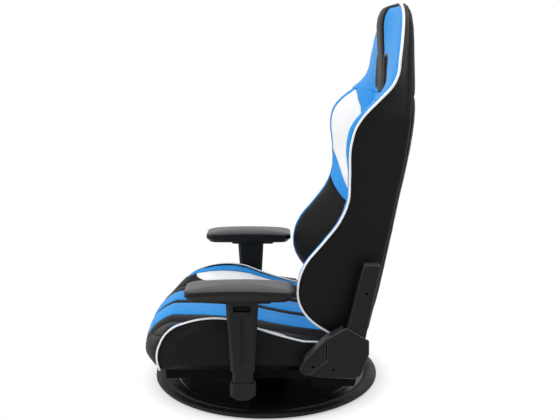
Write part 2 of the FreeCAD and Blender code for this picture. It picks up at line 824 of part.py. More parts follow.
def make_back_cushions():
    """Centre cushion, wings, rear panel and head, with the belt slots and their sleeves."""
    core = Part.makeLoft([core_wire(row) for row in back_rows], True, False)
    wing = Part.makeLoft([wing_wire(row) for row in back_rows], True, False)
    for y, z in cross_bar_places():
        channel = rod((-shoulder_half_width - overrun, y, z), (shoulder_half_width + overrun, y, z),
                      frame_tube_radius + soft_gap)
        core = core.cut(channel)
        wing = wing.cut(channel)
    post_y = upright_y(frame_top_bar_z)
    for x in (-head_post_x, head_post_x):
        core = core.cut(rod((x, post_y, frame_top_bar_z), (x, post_y, head_post_top),
                            frame_tube_radius + soft_gap))
    save("back_cushion", core)
    save_pair("back_wing", wing)
    save("back_rear_panel", Part.makeLoft([rear_panel_wire(row) for row in back_rows], True, False))

    head = Part.makeLoft([head_wire(row) for row in head_rows], True, False)
    bezel = slot_prism(0).cut(slot_prism(-slot_wall)).common(head)
    for side in (slot_prism(soft_gap), mirrored(slot_prism(soft_gap))):
        head = head.cut(side)
    for x in (-head_post_x, head_post_x):
        head = head.cut(rod((x, post_y, head_joint_z - overrun), (x, post_y, head_post_top + soft_gap),
                            frame_tube_radius + soft_gap))
    head.translate(Vector(0, 0, soft_gap))
    save("head_cushion", head)
    save("belt_slot_bezels", bezel, mirrored(bezel))


def make_back_frame():
    """Welded tube frame with elastic straps; the cross bars end in tapped holes."""
    reach = hinge_arm_inner_x
    tubes = []
    for x in (-upright_x, upright_x):
        bottom, top = upright_bottom, frame_top_bar_z
        tubes.append(rod((x, upright_y(bottom), bottom), (x, upright_y(top), top), frame_tube_radius))
        tubes.append(Part.makeSphere(frame_tube_radius, Vector(x, upright_y(top), top)))
    for y, z in cross_bar_places():
        tubes.append(rod((-reach, y, z), (reach, y, z), frame_tube_radius))
    top_y = upright_y(frame_top_bar_z)
    tubes.append(rod((-upright_x, top_y, frame_top_bar_z), (upright_x, top_y, frame_top_bar_z),
                     frame_tube_radius))
    for x in (-head_post_x, head_post_x):
        tubes.append(rod((x, top_y, frame_top_bar_z), (x, top_y, head_post_top), frame_tube_radius))
    frame = tubes[0].multiFuse(tubes[1:]).removeSplitter()
    for y, z in cross_bar_places():
        for side in (-1, 1):
            frame = frame.cut(rod((side * reach, y, z), (side * (reach - frame_bolt_length), y, z),
                                  bolt_radius + running_gap))
    save("back_frame", frame)

    straps = []
    tilt = math.atan(frame_tube_slope)
    for i in range(strap_count):
        z = strap_first_z + i * strap_spacing
        rear = upright_y(z) - frame_tube_radius / math.cos(tilt) - running_gap
        strap = block((-upright_x - frame_tube_radius, rear - strap_thickness, z - strap_width / 2),
                      (upright_x + frame_tube_radius, rear, z + strap_width / 2))
        strap.rotate(Vector(0, rear, z), Vector(1, 0, 0), -math.degrees(tilt))
        straps.append(strap)
    save("back_webbing", *straps)


def bracket_bolt_places():
    low, high = [pivot_y + share * bracket_length for share in bracket_foot_shares]
    middle = (low + high) / 2 - bolt_head_radius
    return [middle - bracket_bolt_spread / 2, middle + bracket_bolt_spread / 2]


def make_hinges():
    """Brackets on the seat frame, hinge arms on the back frame, and the pivots between them."""
    bracket = side_plate(about_pivot(bracket_shares, bracket_length), bracket_inner_x, bracket_outer_x)
    foot_low, foot_high = [pivot_y + share * bracket_length for share in bracket_foot_shares]
    foot_bottom = seat_frame_bottom - bracket_foot_thickness
    foot = block((bracket_foot_inner_x, foot_low, foot_bottom),
                 (bracket_outer_x, foot_high, seat_frame_bottom))
    bracket = bracket.fuse(foot).removeSplitter()
    bracket = bracket.cut(pivot_cylinder(bracket_inner_x - overrun, bracket_outer_x + overrun,
                                         pivot_radius + running_gap))
    for y, z in cover_screw_places():
        bracket = bracket.cut(rod((bracket_inner_x - overrun, y, z), (bracket_outer_x + overrun, y, z),
                                  cover_screw_radius + running_gap))
    bolts = []
    for y in bracket_bolt_places():
        hole = rod((rail_x, y, foot_bottom - overrun), (rail_x, y, seat_frame_bottom + overrun),
                   bolt_radius + bolt_hole_gap)
        bracket = bracket.cut(hole)
        bolts.append(bolt((rail_x, y, foot_bottom),
                          (rail_x, y, seat_frame_bottom + tube_wall + bolt_reach)))
    save_pair("hinge_bracket", bracket)
    save("bracket_bolts", *(bolts + [mirrored(one) for one in bolts]))

    link = [leaning(up, across) + (corner,) for up, across, corner in (
        (0, hinge_arm_front, 0), (hinge_arm_top, hinge_arm_front, hinge_arm_corner),
        (hinge_arm_top, hinge_arm_rear, hinge_arm_corner), (0, hinge_arm_rear, 0))]
    arm = side_plate(link, hinge_arm_inner_x, hinge_arm_outer_x)
    arm = arm.fuse(pivot_cylinder(hinge_arm_inner_x, hinge_arm_outer_x, hinge_arm_radius))
    arm = arm.removeSplitter()
    arm = arm.cut(pivot_cylinder(hinge_arm_inner_x - overrun, hinge_arm_outer_x + overrun,
                                 pivot_radius + running_gap))
    for y, z in cross_bar_places():
        arm = arm.cut(rod((hinge_arm_inner_x - overrun, y, z), (hinge_arm_outer_x + overrun, y, z),
                          bolt_radius + bolt_hole_gap))
    y, z = arm_cover_screw_place()
    arm = arm.cut(rod((hinge_arm_inner_x - overrun, y, z), (hinge_arm_outer_x + overrun, y, z),
                      cover_screw_radius + running_gap))
    save_pair("hinge_arm", arm)


def pivot_cylinder(low_x, high_x, radius):
    return rod((low_x, pivot_y, pivot_z), (high_x, pivot_y, pivot_z), radius)


def pivot_ring(low_x, high_x, radius):
    return pivot_cylinder(low_x, high_x, radius).cut(
        pivot_cylinder(low_x - overrun, high_x + overrun, pivot_radius + running_gap))


def make_pivots():
    """Pivot bolts with washers, the left nut and the right clip, the spring and the recliner."""
    head = (bracket_inner_x, pivot_y, pivot_z)
    tip_x = lever_outer_x + face_gap + lever_clip_thickness
    pin = bolt(head, (tip_x, pivot_y, pivot_z), pivot_radius, pivot_head_radius, pivot_head_height)
    washer = pivot_ring(bracket_outer_x, hinge_arm_inner_x, pivot_head_radius)
    nut_inner_x = recliner_inner_x + spring_width + face_gap
    nut = hexagon((nut_inner_x, pivot_y, pivot_z), (tip_x, pivot_y, pivot_z), pivot_nut_width)
    nut = nut.cut(pivot_cylinder(nut_inner_x - overrun, tip_x + overrun, pivot_radius + running_gap))
    clip = pivot_ring(tip_x - lever_clip_thickness, tip_x, pivot_head_radius)
    save("pivot_bolts", pin, mirrored(pin), washer, mirrored(washer), nut, mirrored(clip))

    low_x, high_x = recliner_inner_x, recliner_inner_x + recliner_thickness
    housing = pivot_ring(low_x, high_x - recliner_rim, recliner_radius)
    housing = housing.fuse(pivot_ring(low_x, high_x, recliner_radius - recliner_rim)).removeSplitter()
    save("recliner_housing", mirrored(housing))
    save("hinge_spring", spiral_spring())


def spiral_edges(radius):
    """Half turns of a flat spiral round the pivot, and the points where it starts and ends."""
    start = Vector(recliner_inner_x, pivot_y + radius, pivot_z)
    first, edges = start, []
    for half in range(2 * spring_turns):
        sign = 1 if half % 2 == 0 else -1
        radius += spring_pitch / 4
        middle = start + Vector(0, -sign * radius, sign * radius)
        end = start - Vector(0, 2 * sign * radius, 0)
        edges.append(arc(start, middle, end))
        start = end
    return edges, first, start


def spiral_spring():
    """A flat spiral strip of half turns round the left pivot."""
    inner, inner_start, inner_end = spiral_edges(spring_hub_radius)
    outer, outer_start, outer_end = spiral_edges(spring_hub_radius + spring_strip)
    edges = inner + outer + [line(inner_end, outer_end), line(outer_start, inner_start)]
    wire = Part.Wire(Part.sortEdges(edges)[0])
    return Part.Face(wire).extrude(Vector(spring_width, 0, 0))


def cover_screw_places():
    return [(pivot_y + y * hinge_cover_length, pivot_z + z * hinge_cover_length)
            for y, z in cover_screw_shares]


def arm_cover_screw_place():
    up, across = arm_cover_screw_shares
    return leaning(up * arm_cover_length, across * arm_cover_width)


def shell_edges(shape, x):
    """The edges of a side cover that lie on its outer face."""
    return [edge for edge in shape.Edges
            if all(abs(vertex.Point.x - x) < running_gap for vertex in edge.Vertexes)]


def side_screw(outer_x, tip_x, y, z):
    """A recessed cover screw along the chair's width."""
    head_x = outer_x - cover_recess
    return bolt((head_x, y, z), (tip_x, y, z), cover_screw_radius, cover_screw_head_radius,
                cover_screw_head_height)


def screw_well(outer_x, y, z):
    """The counterbore and hole of a recessed cover screw."""
    counterbore = rod((outer_x - cover_recess, y, z), (outer_x + overrun, y, z),
                      cover_screw_head_radius + slide_gap)
    hole = rod((bracket_inner_x, y, z), (outer_x, y, z), cover_screw_radius + running_gap)
    return counterbore.fuse(hole)


def make_hinge_covers():
    """Two moulded covers a side over the hinge, and one on each leaning arm."""
    low_x = bracket_outer_x + face_gap
    main_corners = about_pivot(main_cover_shares, hinge_cover_length)
    front_corners = about_pivot(front_cover_shares, hinge_cover_length)
    both_corners = main_corners[:-1] + front_corners[3:]
    front_corners[:3] = [(y - seam_gap, z + seam_gap, radius) for y, z, radius in front_corners[:3]]
    outline = rounded_wire(both_corners, lambda point: Vector(low_x - overrun, point.x, point.y))
    cavity_wire = outline.makeOffset2D(-hinge_cover_wall)
    cavity = Part.Face(cavity_wire).extrude(Vector(hinge_cover_inner_x - low_x + overrun, 0, 0))
    sweep_y, sweep_z = [share * hinge_cover_length for share in cover_sweep_shares]
    far = hinge_cover_length + overrun
    sweep = block((low_x - overrun, pivot_y + sweep_y, pivot_z + sweep_z),
                  (hinge_cover_inner_x, pivot_y + far, pivot_z + far))
    mouth = block((low_x - overrun, pivot_y - far, pivot_z + lever_mouth_share * hinge_cover_length),
                  (hinge_cover_inner_x, main_corners[0][0], pivot_z + far))

    covers = []
    for corners, (y, z) in zip((main_corners, front_corners), cover_screw_places()):
        shell = side_plate(corners, low_x, hinge_cover_outer_x)
        shell = shell.makeChamfer(hinge_cover_bevel, shell_edges(shell, hinge_cover_outer_x))
        shell = shell.cut(cavity)
        boss = rod((low_x, y, z), (hinge_cover_inner_x, y, z), cover_boss_radius)
        shell = shell.cut(sweep).fuse(boss).removeSplitter().cut(screw_well(hinge_cover_outer_x, y, z))
        covers.append(shell)
    main, front = covers
    save_pair("hinge_cover", main)
    save("hinge_cover_front_left", front)
    save("hinge_cover_front_right", mirrored(front.cut(mouth)))
    screws = [side_screw(hinge_cover_outer_x, bracket_inner_x, y, z) for y, z in cover_screw_places()]
    save("cover_screws", *(screws + [mirrored(one) for one in screws]))

    corners = []
    for up, across, radius in arm_cover_shares:
        place = leaning(up * arm_cover_length, across * arm_cover_width)
        corners.append(place + (radius * arm_cover_width,))
    low_x = hinge_arm_inner_x
    shell = side_plate(corners, low_x, arm_cover_outer_x)
    shell = shell.makeChamfer(arm_cover_bevel / 2, shell_edges(shell, arm_cover_outer_x))
    outline = rounded_wire(corners, lambda point: Vector(low_x - overrun, point.x, point.y))
    cavity = Part.Face(outline.makeOffset2D(-arm_cover_wall)).extrude(
        Vector(arm_cover_outer_x - arm_cover_wall - low_x + overrun, 0, 0))
    shell = shell.cut(cavity)
    mouth_top = leaning(arm_cover_shares[-1][0] * arm_cover_length, 0)[1] + arm_cover_wall
    mouth = block((low_x - overrun, pivot_y + hinge_arm_front - overrun, pivot_z),
                  (hinge_arm_outer_x + face_gap, pivot_y + hinge_arm_radius + overrun, mouth_top))
    shell = shell.cut(mouth)
    y, z = arm_cover_screw_place()
    boss = rod((hinge_arm_outer_x, y, z), (arm_cover_outer_x - arm_cover_wall, y, z), cover_boss_radius)
    shell = shell.fuse(boss).removeSplitter().cut(screw_well(arm_cover_outer_x, y, z))
    save_pair("hinge_arm_cover", shell)

    screws = [side_screw(arm_cover_outer_x, hinge_arm_inner_x, y, z)]
    for y, z in cross_bar_places():
        screws.append(bolt((hinge_arm_outer_x, y, z), (hinge_arm_inner_x - frame_bolt_length, y, z)))
    save("hinge_arm_screws", *(screws + [mirrored(one) for one in screws]))


def make_lever():
    """The recline lever and its grip, on the sitter's right."""
    def forward(radius, across):
        y = pivot_y - radius * math.cos(lever_rise) - across * math.sin(lever_rise)
        z = pivot_z + radius * math.sin(lever_rise) - across * math.cos(lever_rise)
        return y, z

    def outline(start, end, half, corner):
        return [forward(radius, across) + (corner,) for radius, across in (
            (start, -half), (end, -half), (end, half), (start, half))]

    half = lever_bar_width / 2
    bar = side_plate(outline(0, lever_bar_length, half, 0), lever_inner_x, lever_outer_x)
    bar = bar.fuse(pivot_cylinder(lever_inner_x, lever_outer_x, lever_hub_radius)).removeSplitter()
    bar = bar.cut(pivot_cylinder(lever_inner_x - overrun, lever_outer_x + overrun,
                                 pivot_radius + running_gap))
    save("recline_lever", mirrored(bar))

    middle_x = (lever_inner_x + lever_outer_x) / 2
    low_x, high_x = middle_x - grip_thickness / 2, middle_x + grip_thickness / 2
    grip = side_plate(outline(grip_start, grip_start + grip_length, grip_width / 2, grip_width / 3),
                      low_x, high_x)
    grip = grip.makeFillet(grip_round, shell_edges(grip, low_x) + shell_edges(grip, high_x))
    pocket = side_plate(outline(0, lever_bar_length + slide_gap, half + slide_gap, 0),
                        lever_inner_x - face_gap, lever_outer_x + face_gap)
    save("lever_grip", mirrored(grip.cut(pocket)))


def arm_bolt_places():
    return [(side * x, arm_y) for x in arm_bar_bolts for side in (-1, 1)]


def make_arm_supports():
    """Flat bars under the seat frame, and the foot and post of each armrest."""
    half = arm_bar_width / 2
    bar = block((arm_bar_inner_x, arm_y - half, arm_bar_bottom),
                (arm_bar_outer_x, arm_y + half, seat_frame_bottom))
    post = Part.makeLoft([bevelled_wire(post_half_x, post_half_y, post_bevel, z)
                          for z in (seat_frame_bottom, post_top)], True, True)
    base = Part.makeLoft([
        bevelled_wire(arm_base_half_x - arm_base_taper / 2, arm_base_half_y - arm_base_taper,
                      arm_base_bevel, arm_base_bottom),
        bevelled_wire(arm_base_half_x, arm_base_half_y, arm_base_bevel, arm_base_bottom + arm_base_taper),
        bevelled_wire(arm_base_half_x, arm_base_half_y, arm_base_bevel, arm_base_top)], True, True)
    base = base.cut(block((arm_bar_inner_x, arm_y - half - face_gap, arm_bar_bottom - face_gap),
                          (arm_bar_outer_x + face_gap, arm_y + half + face_gap, seat_frame_bottom)))
    socket = [bevelled_wire(post_half_x + face_gap, post_half_y + face_gap, post_bevel, z)
              for z in (seat_frame_bottom - face_gap, arm_base_top + overrun)]
    base = base.cut(Part.makeLoft(socket, True, True))
    access = rod((arm_x, arm_y, arm_base_bottom - overrun), (arm_x, arm_y, arm_bar_bottom),
                 bolt_head_radius + slide_gap)
    base = base.cut(access)

    bolts = []
    for x in arm_bar_bolts + (arm_x,):
        hole = bolt_radius + bolt_hole_gap
        bar = bar.cut(rod((x, arm_y, arm_bar_bottom - overrun), (x, arm_y, seat_frame_bottom), hole))
        tip = seat_frame_bottom + tube_wall + bolt_reach
        bolts.append(bolt((x, arm_y, arm_bar_bottom), (x, arm_y, tip)))
        post = post.cut(rod((x, arm_y, seat_frame_bottom), (x, arm_y, tip + slide_gap),
                            bolt_radius + running_gap))
    save("arm_brackets", bar, mirrored(bar))
    save("arm_bracket_bolts", *(bolts + [mirrored(one) for one in bolts]))
    save_pair("arm_base", base)
    save_pair("arm_post", post)


def make_armrests():
    """Height sleeve, its button, the sliding carrier, and the turning pad on its base."""
    sleeve = Part.makeLoft([
        bevelled_wire(sleeve_low_half_x, sleeve_low_half_y, sleeve_bevel, sleeve_bottom),
        bevelled_wire(sleeve_high_half_x, sleeve_high_half_y, sleeve_bevel, sleeve_top)], True, True)
    cavity = [bevelled_wire(post_half_x + slide_gap, post_half_y + slide_gap, post_bevel, z)
              for z in (sleeve_bottom - overrun, sleeve_cavity_top)]
    sleeve = sleeve.cut(Part.makeLoft(cavity, True, True))
    key_rear = key_front + key_length
    sleeve = sleeve.cut(block(
        (arm_x - key_half_width - slide_gap, key_front - carrier_travel - slide_gap,
         sleeve_top - key_depth - slide_gap),
        (arm_x + key_half_width + slide_gap, key_rear + slide_gap, sleeve_top + overrun)))
    groove_x = arm_x + sleeve_low_half_x - sleeve_groove_depth
    sleeve = sleeve.cut(block(
        (groove_x, arm_y - sleeve_groove_width / 2, sleeve_groove_bottom),
        (arm_x + sleeve_high_half_x + overrun, arm_y + sleeve_groove_width / 2, sleeve_groove_top)))
    rise = (button_z - sleeve_bottom) / (sleeve_top - sleeve_bottom)
    face_x = arm_x + sleeve_low_half_x + rise * (sleeve_high_half_x - sleeve_low_half_x)
    button_outer = face_x + button_proud
    button_inner = button_outer - button_depth
    half, tall = button_width / 2, button_height / 2
    recess = block(
        (button_inner - button_travel - slide_gap, arm_y - half - slide_gap, button_z - tall - slide_gap),
        (arm_x + sleeve_high_half_x + overrun, arm_y + half + slide_gap, button_z + tall + slide_gap))
    save_pair("arm_sleeve", sleeve.cut(recess))
    button = block((button_inner, arm_y - half, button_z - tall),
                   (button_outer, arm_y + half, button_z + tall))
    button = button.makeChamfer(button_proud / 2, shell_edges(button, button_outer))
    save_pair("arm_button", button)

    low_z = sleeve_top + face_gap
    high_z = low_z + carrier_thickness
    carrier = flat_plate(carrier_half_x, (carrier_rear - carrier_front) / 2, carrier_corner, low_z,
                         high_z, arm_x, (carrier_rear + carrier_front) / 2)
    key = block((arm_x - key_half_width, key_front, sleeve_top - key_depth),
                (arm_x + key_half_width, key_rear, low_z))
    pivot = rod((arm_x, arm_y, high_z), (arm_x, arm_y, high_z + pad_pivot_height), pad_pivot_radius)
    save_pair("pad_carrier", carrier.multiFuse([key, pivot]).removeSplitter())

    base_z = high_z + face_gap
    base = flat_plate(pad_base_half_x, pad_base_length / 2, pad_base_corner, base_z,
                      base_z + pad_base_thickness, arm_x, pad_centre_y)
    base = base.cut(rod((arm_x, arm_y, base_z), (arm_x, arm_y, high_z + pad_pivot_height + slide_gap),
                        pad_pivot_radius + running_gap))
    save_pair("pad_base", base)
    wires = []
    for height, inset in pad_level_shares:
        shrink = inset * pad_half_width
        wires.append(flat_wire(pad_half_width - shrink, pad_length / 2 - shrink, pad_corner - shrink / 2,
                               base_z + face_gap + height * pad_height, arm_x, pad_centre_y))
    pad = Part.makeLoft(wires, True, True)
    well = flat_plate(pad_base_half_x + soft_gap, pad_base_length / 2 + soft_gap, pad_base_corner,
                      base_z - overrun, base_z + pad_base_thickness + soft_gap, arm_x, pad_centre_y)
    save_pair("arm_pad", pad.cut(well))


os.makedirs("parts", exist_ok=True)
make_base()
make_bearing()
make_pedestal()
make_seat_frame()
make_seat_cushion()
make_back_cushions()
make_back_frame()
make_hinges()
make_pivots()
make_hinge_covers()
make_lever()
make_arm_supports()
make_armrests()
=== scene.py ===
import math
from contextlib import contextmanager

import bmesh
import bpy
import numpy as np
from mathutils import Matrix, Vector, noise


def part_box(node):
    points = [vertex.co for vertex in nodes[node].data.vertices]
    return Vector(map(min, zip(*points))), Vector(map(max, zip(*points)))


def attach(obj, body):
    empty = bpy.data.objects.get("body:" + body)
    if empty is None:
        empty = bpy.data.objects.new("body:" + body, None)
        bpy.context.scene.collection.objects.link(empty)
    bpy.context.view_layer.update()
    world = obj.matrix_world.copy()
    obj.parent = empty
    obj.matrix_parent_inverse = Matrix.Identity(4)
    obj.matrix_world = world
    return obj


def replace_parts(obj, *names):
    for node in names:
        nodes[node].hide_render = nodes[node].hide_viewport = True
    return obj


# Looks of the floor gaming chair. Metres, +Z up, the chair faces -Y and +X is the sitter's left.
# Upholstery is built as sewn panels over a closed core, with white piping on the crests.

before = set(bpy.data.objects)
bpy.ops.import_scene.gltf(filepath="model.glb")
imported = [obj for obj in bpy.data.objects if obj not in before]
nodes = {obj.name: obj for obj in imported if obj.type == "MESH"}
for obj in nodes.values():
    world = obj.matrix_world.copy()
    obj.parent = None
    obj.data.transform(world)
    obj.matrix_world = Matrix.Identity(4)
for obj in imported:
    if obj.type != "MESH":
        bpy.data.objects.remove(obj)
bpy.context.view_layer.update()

SIDES = ((1, "left"), (-1, "right"))
AHEAD, BEHIND, UP = (0, -1, 0), (0, 1, 0), (0, 0, 1)

# The whole backrest, by the same rows as its solids: height share, crest x share, crest y share of
# the way from the wings' front to the frame's line, reach ahead of that line and behind it, rear
# corner x share
WAIST_ROWS = [
    (0.0, 0.916, 0.566, 0.345, 0.315, 0.886), (0.05, 0.955, 0.223, 0.422, 0.317, 0.889),
    (0.11, 0.987, 0.029, 0.502, 0.349, 0.896), (0.17, 1.0, 0.0, 0.56, 0.354, 0.901),
    (0.235, 1.0, 0.086, 0.582, 0.359, 0.901), (0.30, 1.002, 0.281, 0.579, 0.362, 0.901),
    (0.36, 1.015, 0.433, 0.569, 0.364, 0.905), (0.42, 1.03, 0.504, 0.559, 0.36, 0.916),
]
SHOULDER_ROWS = [
    (0.50, 0.925, 0.487, 0.518, 0.37, 0.813), (0.60, 0.982, 0.456, 0.5, 0.348, 0.856),
    (0.65, 0.997, 0.486, 0.501, 0.319, 0.869), (0.682, 0.99, 0.547, 0.496, 0.285, 0.857),
    (0.721, 0.951, 0.673, 0.457, 0.279, 0.82),
    (0.76, 0.919, 0.791, 0.446, 0.263, 0.78), (0.792, 0.902, 0.838, 0.446, 0.248, 0.754),
    (0.831, 0.879, 0.855, 0.457, 0.234, 0.728), (0.87, 0.839, 0.873, 0.477, 0.223, 0.695),
    (0.909, 0.774, 0.891, 0.496, 0.206, 0.639), (0.942, 0.695, 0.907, 0.502, 0.178, 0.574),
    (0.968, 0.597, 0.918, 0.46, 0.142, 0.48), (0.987, 0.459, 0.928, 0.367, 0.083, 0.361),
    (1.0, 0.28, 0.937, 0.204, 0.01, 0.21),
]
BACK_BOTTOM = 0.190
BACK_HEIGHT = 0.770
BACK_TOP = BACK_BOTTOM + BACK_HEIGHT
WAIST_HALF_WIDTH = 0.262
SHOULDER_HALF_WIDTH = 0.305
BACK_THICKNESS = 0.100
WING_FRONT = 0.079
CORE_HALF_WIDTH = 0.128
CORE_CROWN = 0.004
REAR_RADIUS = 1.110
CORNER_ROUND = 0.016
CREST_INSET = 0.014
LINE_Y, LINE_Z, LINE_SLOPE, LINE_TOP = 0.2467, 0.2505, 0.185, 0.7152
HEAD_JOINT = BACK_BOTTOM + 0.721 * BACK_HEIGHT
HEAD_END = BACK_TOP - 0.001
HEAD_SIDE_END = BACK_TOP - 0.0085
HEAD_PANEL_SHARE = 0.44
HEAD_MIDDLE_X = 0.055
HEAD_CORE_DROP = 0.009
# The share of the head's side, and of the outer side, that comes before the turn of the edge
HEAD_FLAT = FLANK_FLAT = 0.88

# By height: how far the padding swells ahead of the piping, how far the head's sides lie behind its
# raised middle, how far the coloured strip reaches inboard of the foremost line, and the piping's
# place behind the crest
SWELL = [
    (0.19, 0.0065), (0.25, 0.0065), (0.32, 0.005), (0.45, 0.0045), (0.50, 0.0045), (0.60, 0.005),
    (0.645, 0.009), (0.67, 0.011), (0.70, 0.011), (0.745, 0.006), (0.77, 0.004), (0.93, 0.004),
    (0.96, 0.002),
]
HEAD_DROP = [(0.19, 0.0), (0.745, 0.0), (0.80, 0.001), (0.86, 0.006), (0.92, 0.011), (0.96, 0.004)]
STRIP_INSET = [
    (0.19, 0.003), (0.50, 0.004), (0.60, 0.006), (0.68, 0.010), (0.715, 0.019), (0.745, 0.036),
    (0.775, 0.036), (0.82, 0.008), (0.96, 0.004),
]
PIPING_BEHIND = [
    (0.19, -0.003), (0.25, -0.003), (0.32, -0.0008), (0.45, 0.0), (0.60, 0.0012), (0.70, 0.0028),
    (0.78, 0.0010), (0.93, 0.0010), (0.96, 0.0015),
]

# Seams of the back by height. Two rise from the centre's edge to the coloured strip: the waist
# panel's and the diagonal band's
WAIST_SEAM = (0.435, 0.498)
BAND_SEAM = (0.459, 0.571)
WHITE_SEAM = [(0.60, CORE_HALF_WIDTH), (0.65, 0.145), (0.70, 0.168), (0.73, 0.205)]
WHITE_TOP = 0.7445
STRIPE_FLARE = (0.56, 0.69)
STRIPE_INNER_X, STRIPE_OUTER_X = 0.0130, 0.100
BACK_REAR_SEAM = 0.60
# A panel that comes to a point starts this far into it
POINT_START = 0.0005

# The seat's side outlines, as shares of its length and of the crest's rise
CENTRE = [
    (0.039, 0.0), (0.0, 0.18), (0.011, 0.35), (0.054, 0.56), (0.125, 0.72), (0.325, 0.70),
    (0.53, 0.614), (0.694, 0.47), (0.86, 0.386), (0.967, 0.326), (1.0, 0.18),
]
VALLEY = [
    (0.055, 0.0), (0.018, 0.18), (0.028, 0.34), (0.068, 0.53), (0.135, 0.68), (0.325, 0.66),
    (0.53, 0.575), (0.694, 0.45), (0.86, 0.375), (0.967, 0.32), (1.0, 0.18),
]
CREST = [
    (0.103, 0.0), (0.09, 0.235), (0.105, 0.504), (0.143, 0.742), (0.210, 0.892), (0.330, 0.992),
    (0.454, 0.924), (0.587, 0.72), (0.74, 0.546), (0.915, 0.405), (1.0, 0.197),
]
SIDE = [
    (0.186, 0.12), (0.166, 0.29), (0.181, 0.485), (0.214, 0.65), (0.26, 0.74), (0.343, 0.795),
    (0.445, 0.727), (0.528, 0.62), (0.592, 0.5), (0.624, 0.41), (0.635, 0.27),
]
SEAT_REAR = 0.236
SEAT_LENGTH = 0.542
SEAT_BOTTOM = 0.104
CREST_RISE = 0.132
VALLEY_X, CREST_X, SEAT_SIDE_X = 0.150, 0.240, 0.2492
BOLSTER_CLIMB = 1.5
SIDE_ROUND = 0.6

# Seams of the seat, in arcs along its outlines, and the white panel's least distance from the middle
ARCS = 5
FRONT_SEAM, REAR_SEAM = 0.85, 4.35
BOLSTER_START = 1.30
LENS_START, LENS_END, LENS_X = 2.0, 3.6, 0.158
SEAT_STRIP = [(BOLSTER_START, CREST_X - 0.002), (1.50, 0.233), (1.80, 0.2195), (ARCS, 0.2195)]
# How far the seat's coloured strip and its piping reach past the crest
STRIP_PAST, PIPING_PAST = 0.0010, 0.0019

# Belt slots
SLOT_X = 0.084
SLOT_Z = HEAD_JOINT + 0.052
SLOT_HALF_WIDTH = 0.018
SLOT_STRAIGHT = 0.024

# Sewing
PIPING_RADIUS = 0.0025
SEAT_PIPING_RADIUS = 0.0023
PIPING_SIDES = 12
SINK = 0.0026
PAD_DEPTH = 0.0045
THIN_PAD = 0.0022
SEAM_RADIUS = 0.009
CORE_INSET = 0.007

# The arm pad's rim: inset, height, and how much the middle of its length rises above its ends
PAD_RIM = [
    (0.0120, 0.0, 0.0), (0.0105, 0.0008, 0.0), (0.0070, 0.0050, 0.0025), (0.0012, 0.0112, 0.0070),
    (0.0003, 0.0122, 0.0072), (0.0, 0.0135, 0.0068), (0.0008, 0.0222, 0.0045),
    (0.0014, 0.0236, 0.0045), (0.0036, 0.0252, 0.0045), (0.0062, 0.0264, 0.0050),
    (0.0075, 0.0269, 0.0055),
]
PAD_CROWN = 0.0042
PAD_CORNER, WELL_CORNER = 0.019, 0.0225

# The disc
DISC_WELL = 0.047
PANEL_TOP = 0.011
DISC_STEPS = 240
RIM_ROUND = 0.015
RIM_POINTS = 26

# Camera, floor and light. Soft lamps: name, place, aim, size and power
CAMERA_PLACE = (2.0084, 0.0364, 0.8536)
CAMERA_PITCH = 11.53
CAMERA_LENS = 50.86
FLOOR_FADE = (0.24, 0.335)
FLOOR_REACH = 9
WORLD_LIGHT = 0.66
LAMPS = [
    ("key", (1.6, -1.8, 2.2), (0, 0, 0.4), 1.6, 22.0),
    ("top", (0.0, 0.2, 2.6), (0, 0, 0.3), 2.2, 22.0),
    ("front", (0.6, -2.4, 1.0), (0, 0, 0.4), 1.4, 12.0),
    ("rear", (0.6, 2.2, 1.6), (0, 0.2, 0.5), 1.2, 9.0),
]


# Materials

def set_all(thing, **settings):
    for key, value in settings.items():
        setattr(thing, key, value)


def put(socket, value):
    """Links an input to another socket, or sets its value."""
    if isinstance(value, bpy.types.NodeSocket):
        socket.id_data.links.new(value, socket)
    else:
        socket.default_value = value


class Paint:
    """The nodes of a material or of the world, with short calls that add to them."""

    def __init__(self, owner):
        owner.use_nodes = True
        self.owner, self.nodes = owner, owner.node_tree.nodes

    def add(self, kind, inputs=None, output=0, **settings):
        """Adds a node and gives one of its outputs."""
        node = self.nodes.new("ShaderNode" + kind)
        set_all(node, **settings)
        for key, value in (inputs or {}).items():
            put(node.inputs[key], value)
        return node.outputs[output]

    def maths(self, operation, *values):
        return self.add("Math", dict(enumerate(values)), operation=operation)

    def blend(self, share, first, second):
        return self.add("Mix", {0: share, 6: first, 7: second}, 2, data_type="RGBA")

    def ramp(self, value, low, high, first=0.0, last=1.0):
        """Takes low to first and high to last, and stays between them."""
        return self.add("MapRange", {"Value": value, "From Min": low, "From Max": high,
                                     "To Min": first, "To Max": last}, "Result")

    def clouds(self, scale, detail, **more):
        inputs = {"Vector": self.place, "Scale": scale, "Detail": detail, **more}
        return self.add("TexNoise", inputs, "Fac")

    def upward(self, high):
        """How far the surface looks upward."""
        normal = self.add("NewGeometry", output="Normal")
        return self.ramp(self.add("SeparateXYZ", {0: normal}, "Z"), 0.35, high)

    def seen(self):
        """1 for rays of the camera, reflections and clear pieces, and 0 for the rays that light."""
        rays = [self.add("LightPath", output="Is " + kind + " Ray")
                for kind in ("Camera", "Glossy", "Transmission")]
        return self.maths("MAXIMUM", rays[0], self.maths("MAXIMUM", *rays[1:]))

    def finish(self, base, height, strength, inputs):
        """Gives the shader its colour, its bump and its other inputs."""
        bump = self.add("Bump", {"Height": height, "Strength": strength, "Distance": 1.0})
        for key, value in {"Base Color": base, "Normal": bump, **inputs}.items():
            put(self.nodes["Principled BSDF"].inputs[key], value)
        return self.owner


def new_material(name):
    paint = Paint(bpy.data.materials.new(name))
    paint.place = paint.add("TexCoord", output="Object")
    return paint


def shade(colour, factor=1.0):
    """A colour, or a grey given as one number, made lighter or darker."""
    colour = colour if isinstance(colour, tuple) else (colour,) * 3
    return tuple(min(1.0, c * factor) for c in colour) + (1.0,)


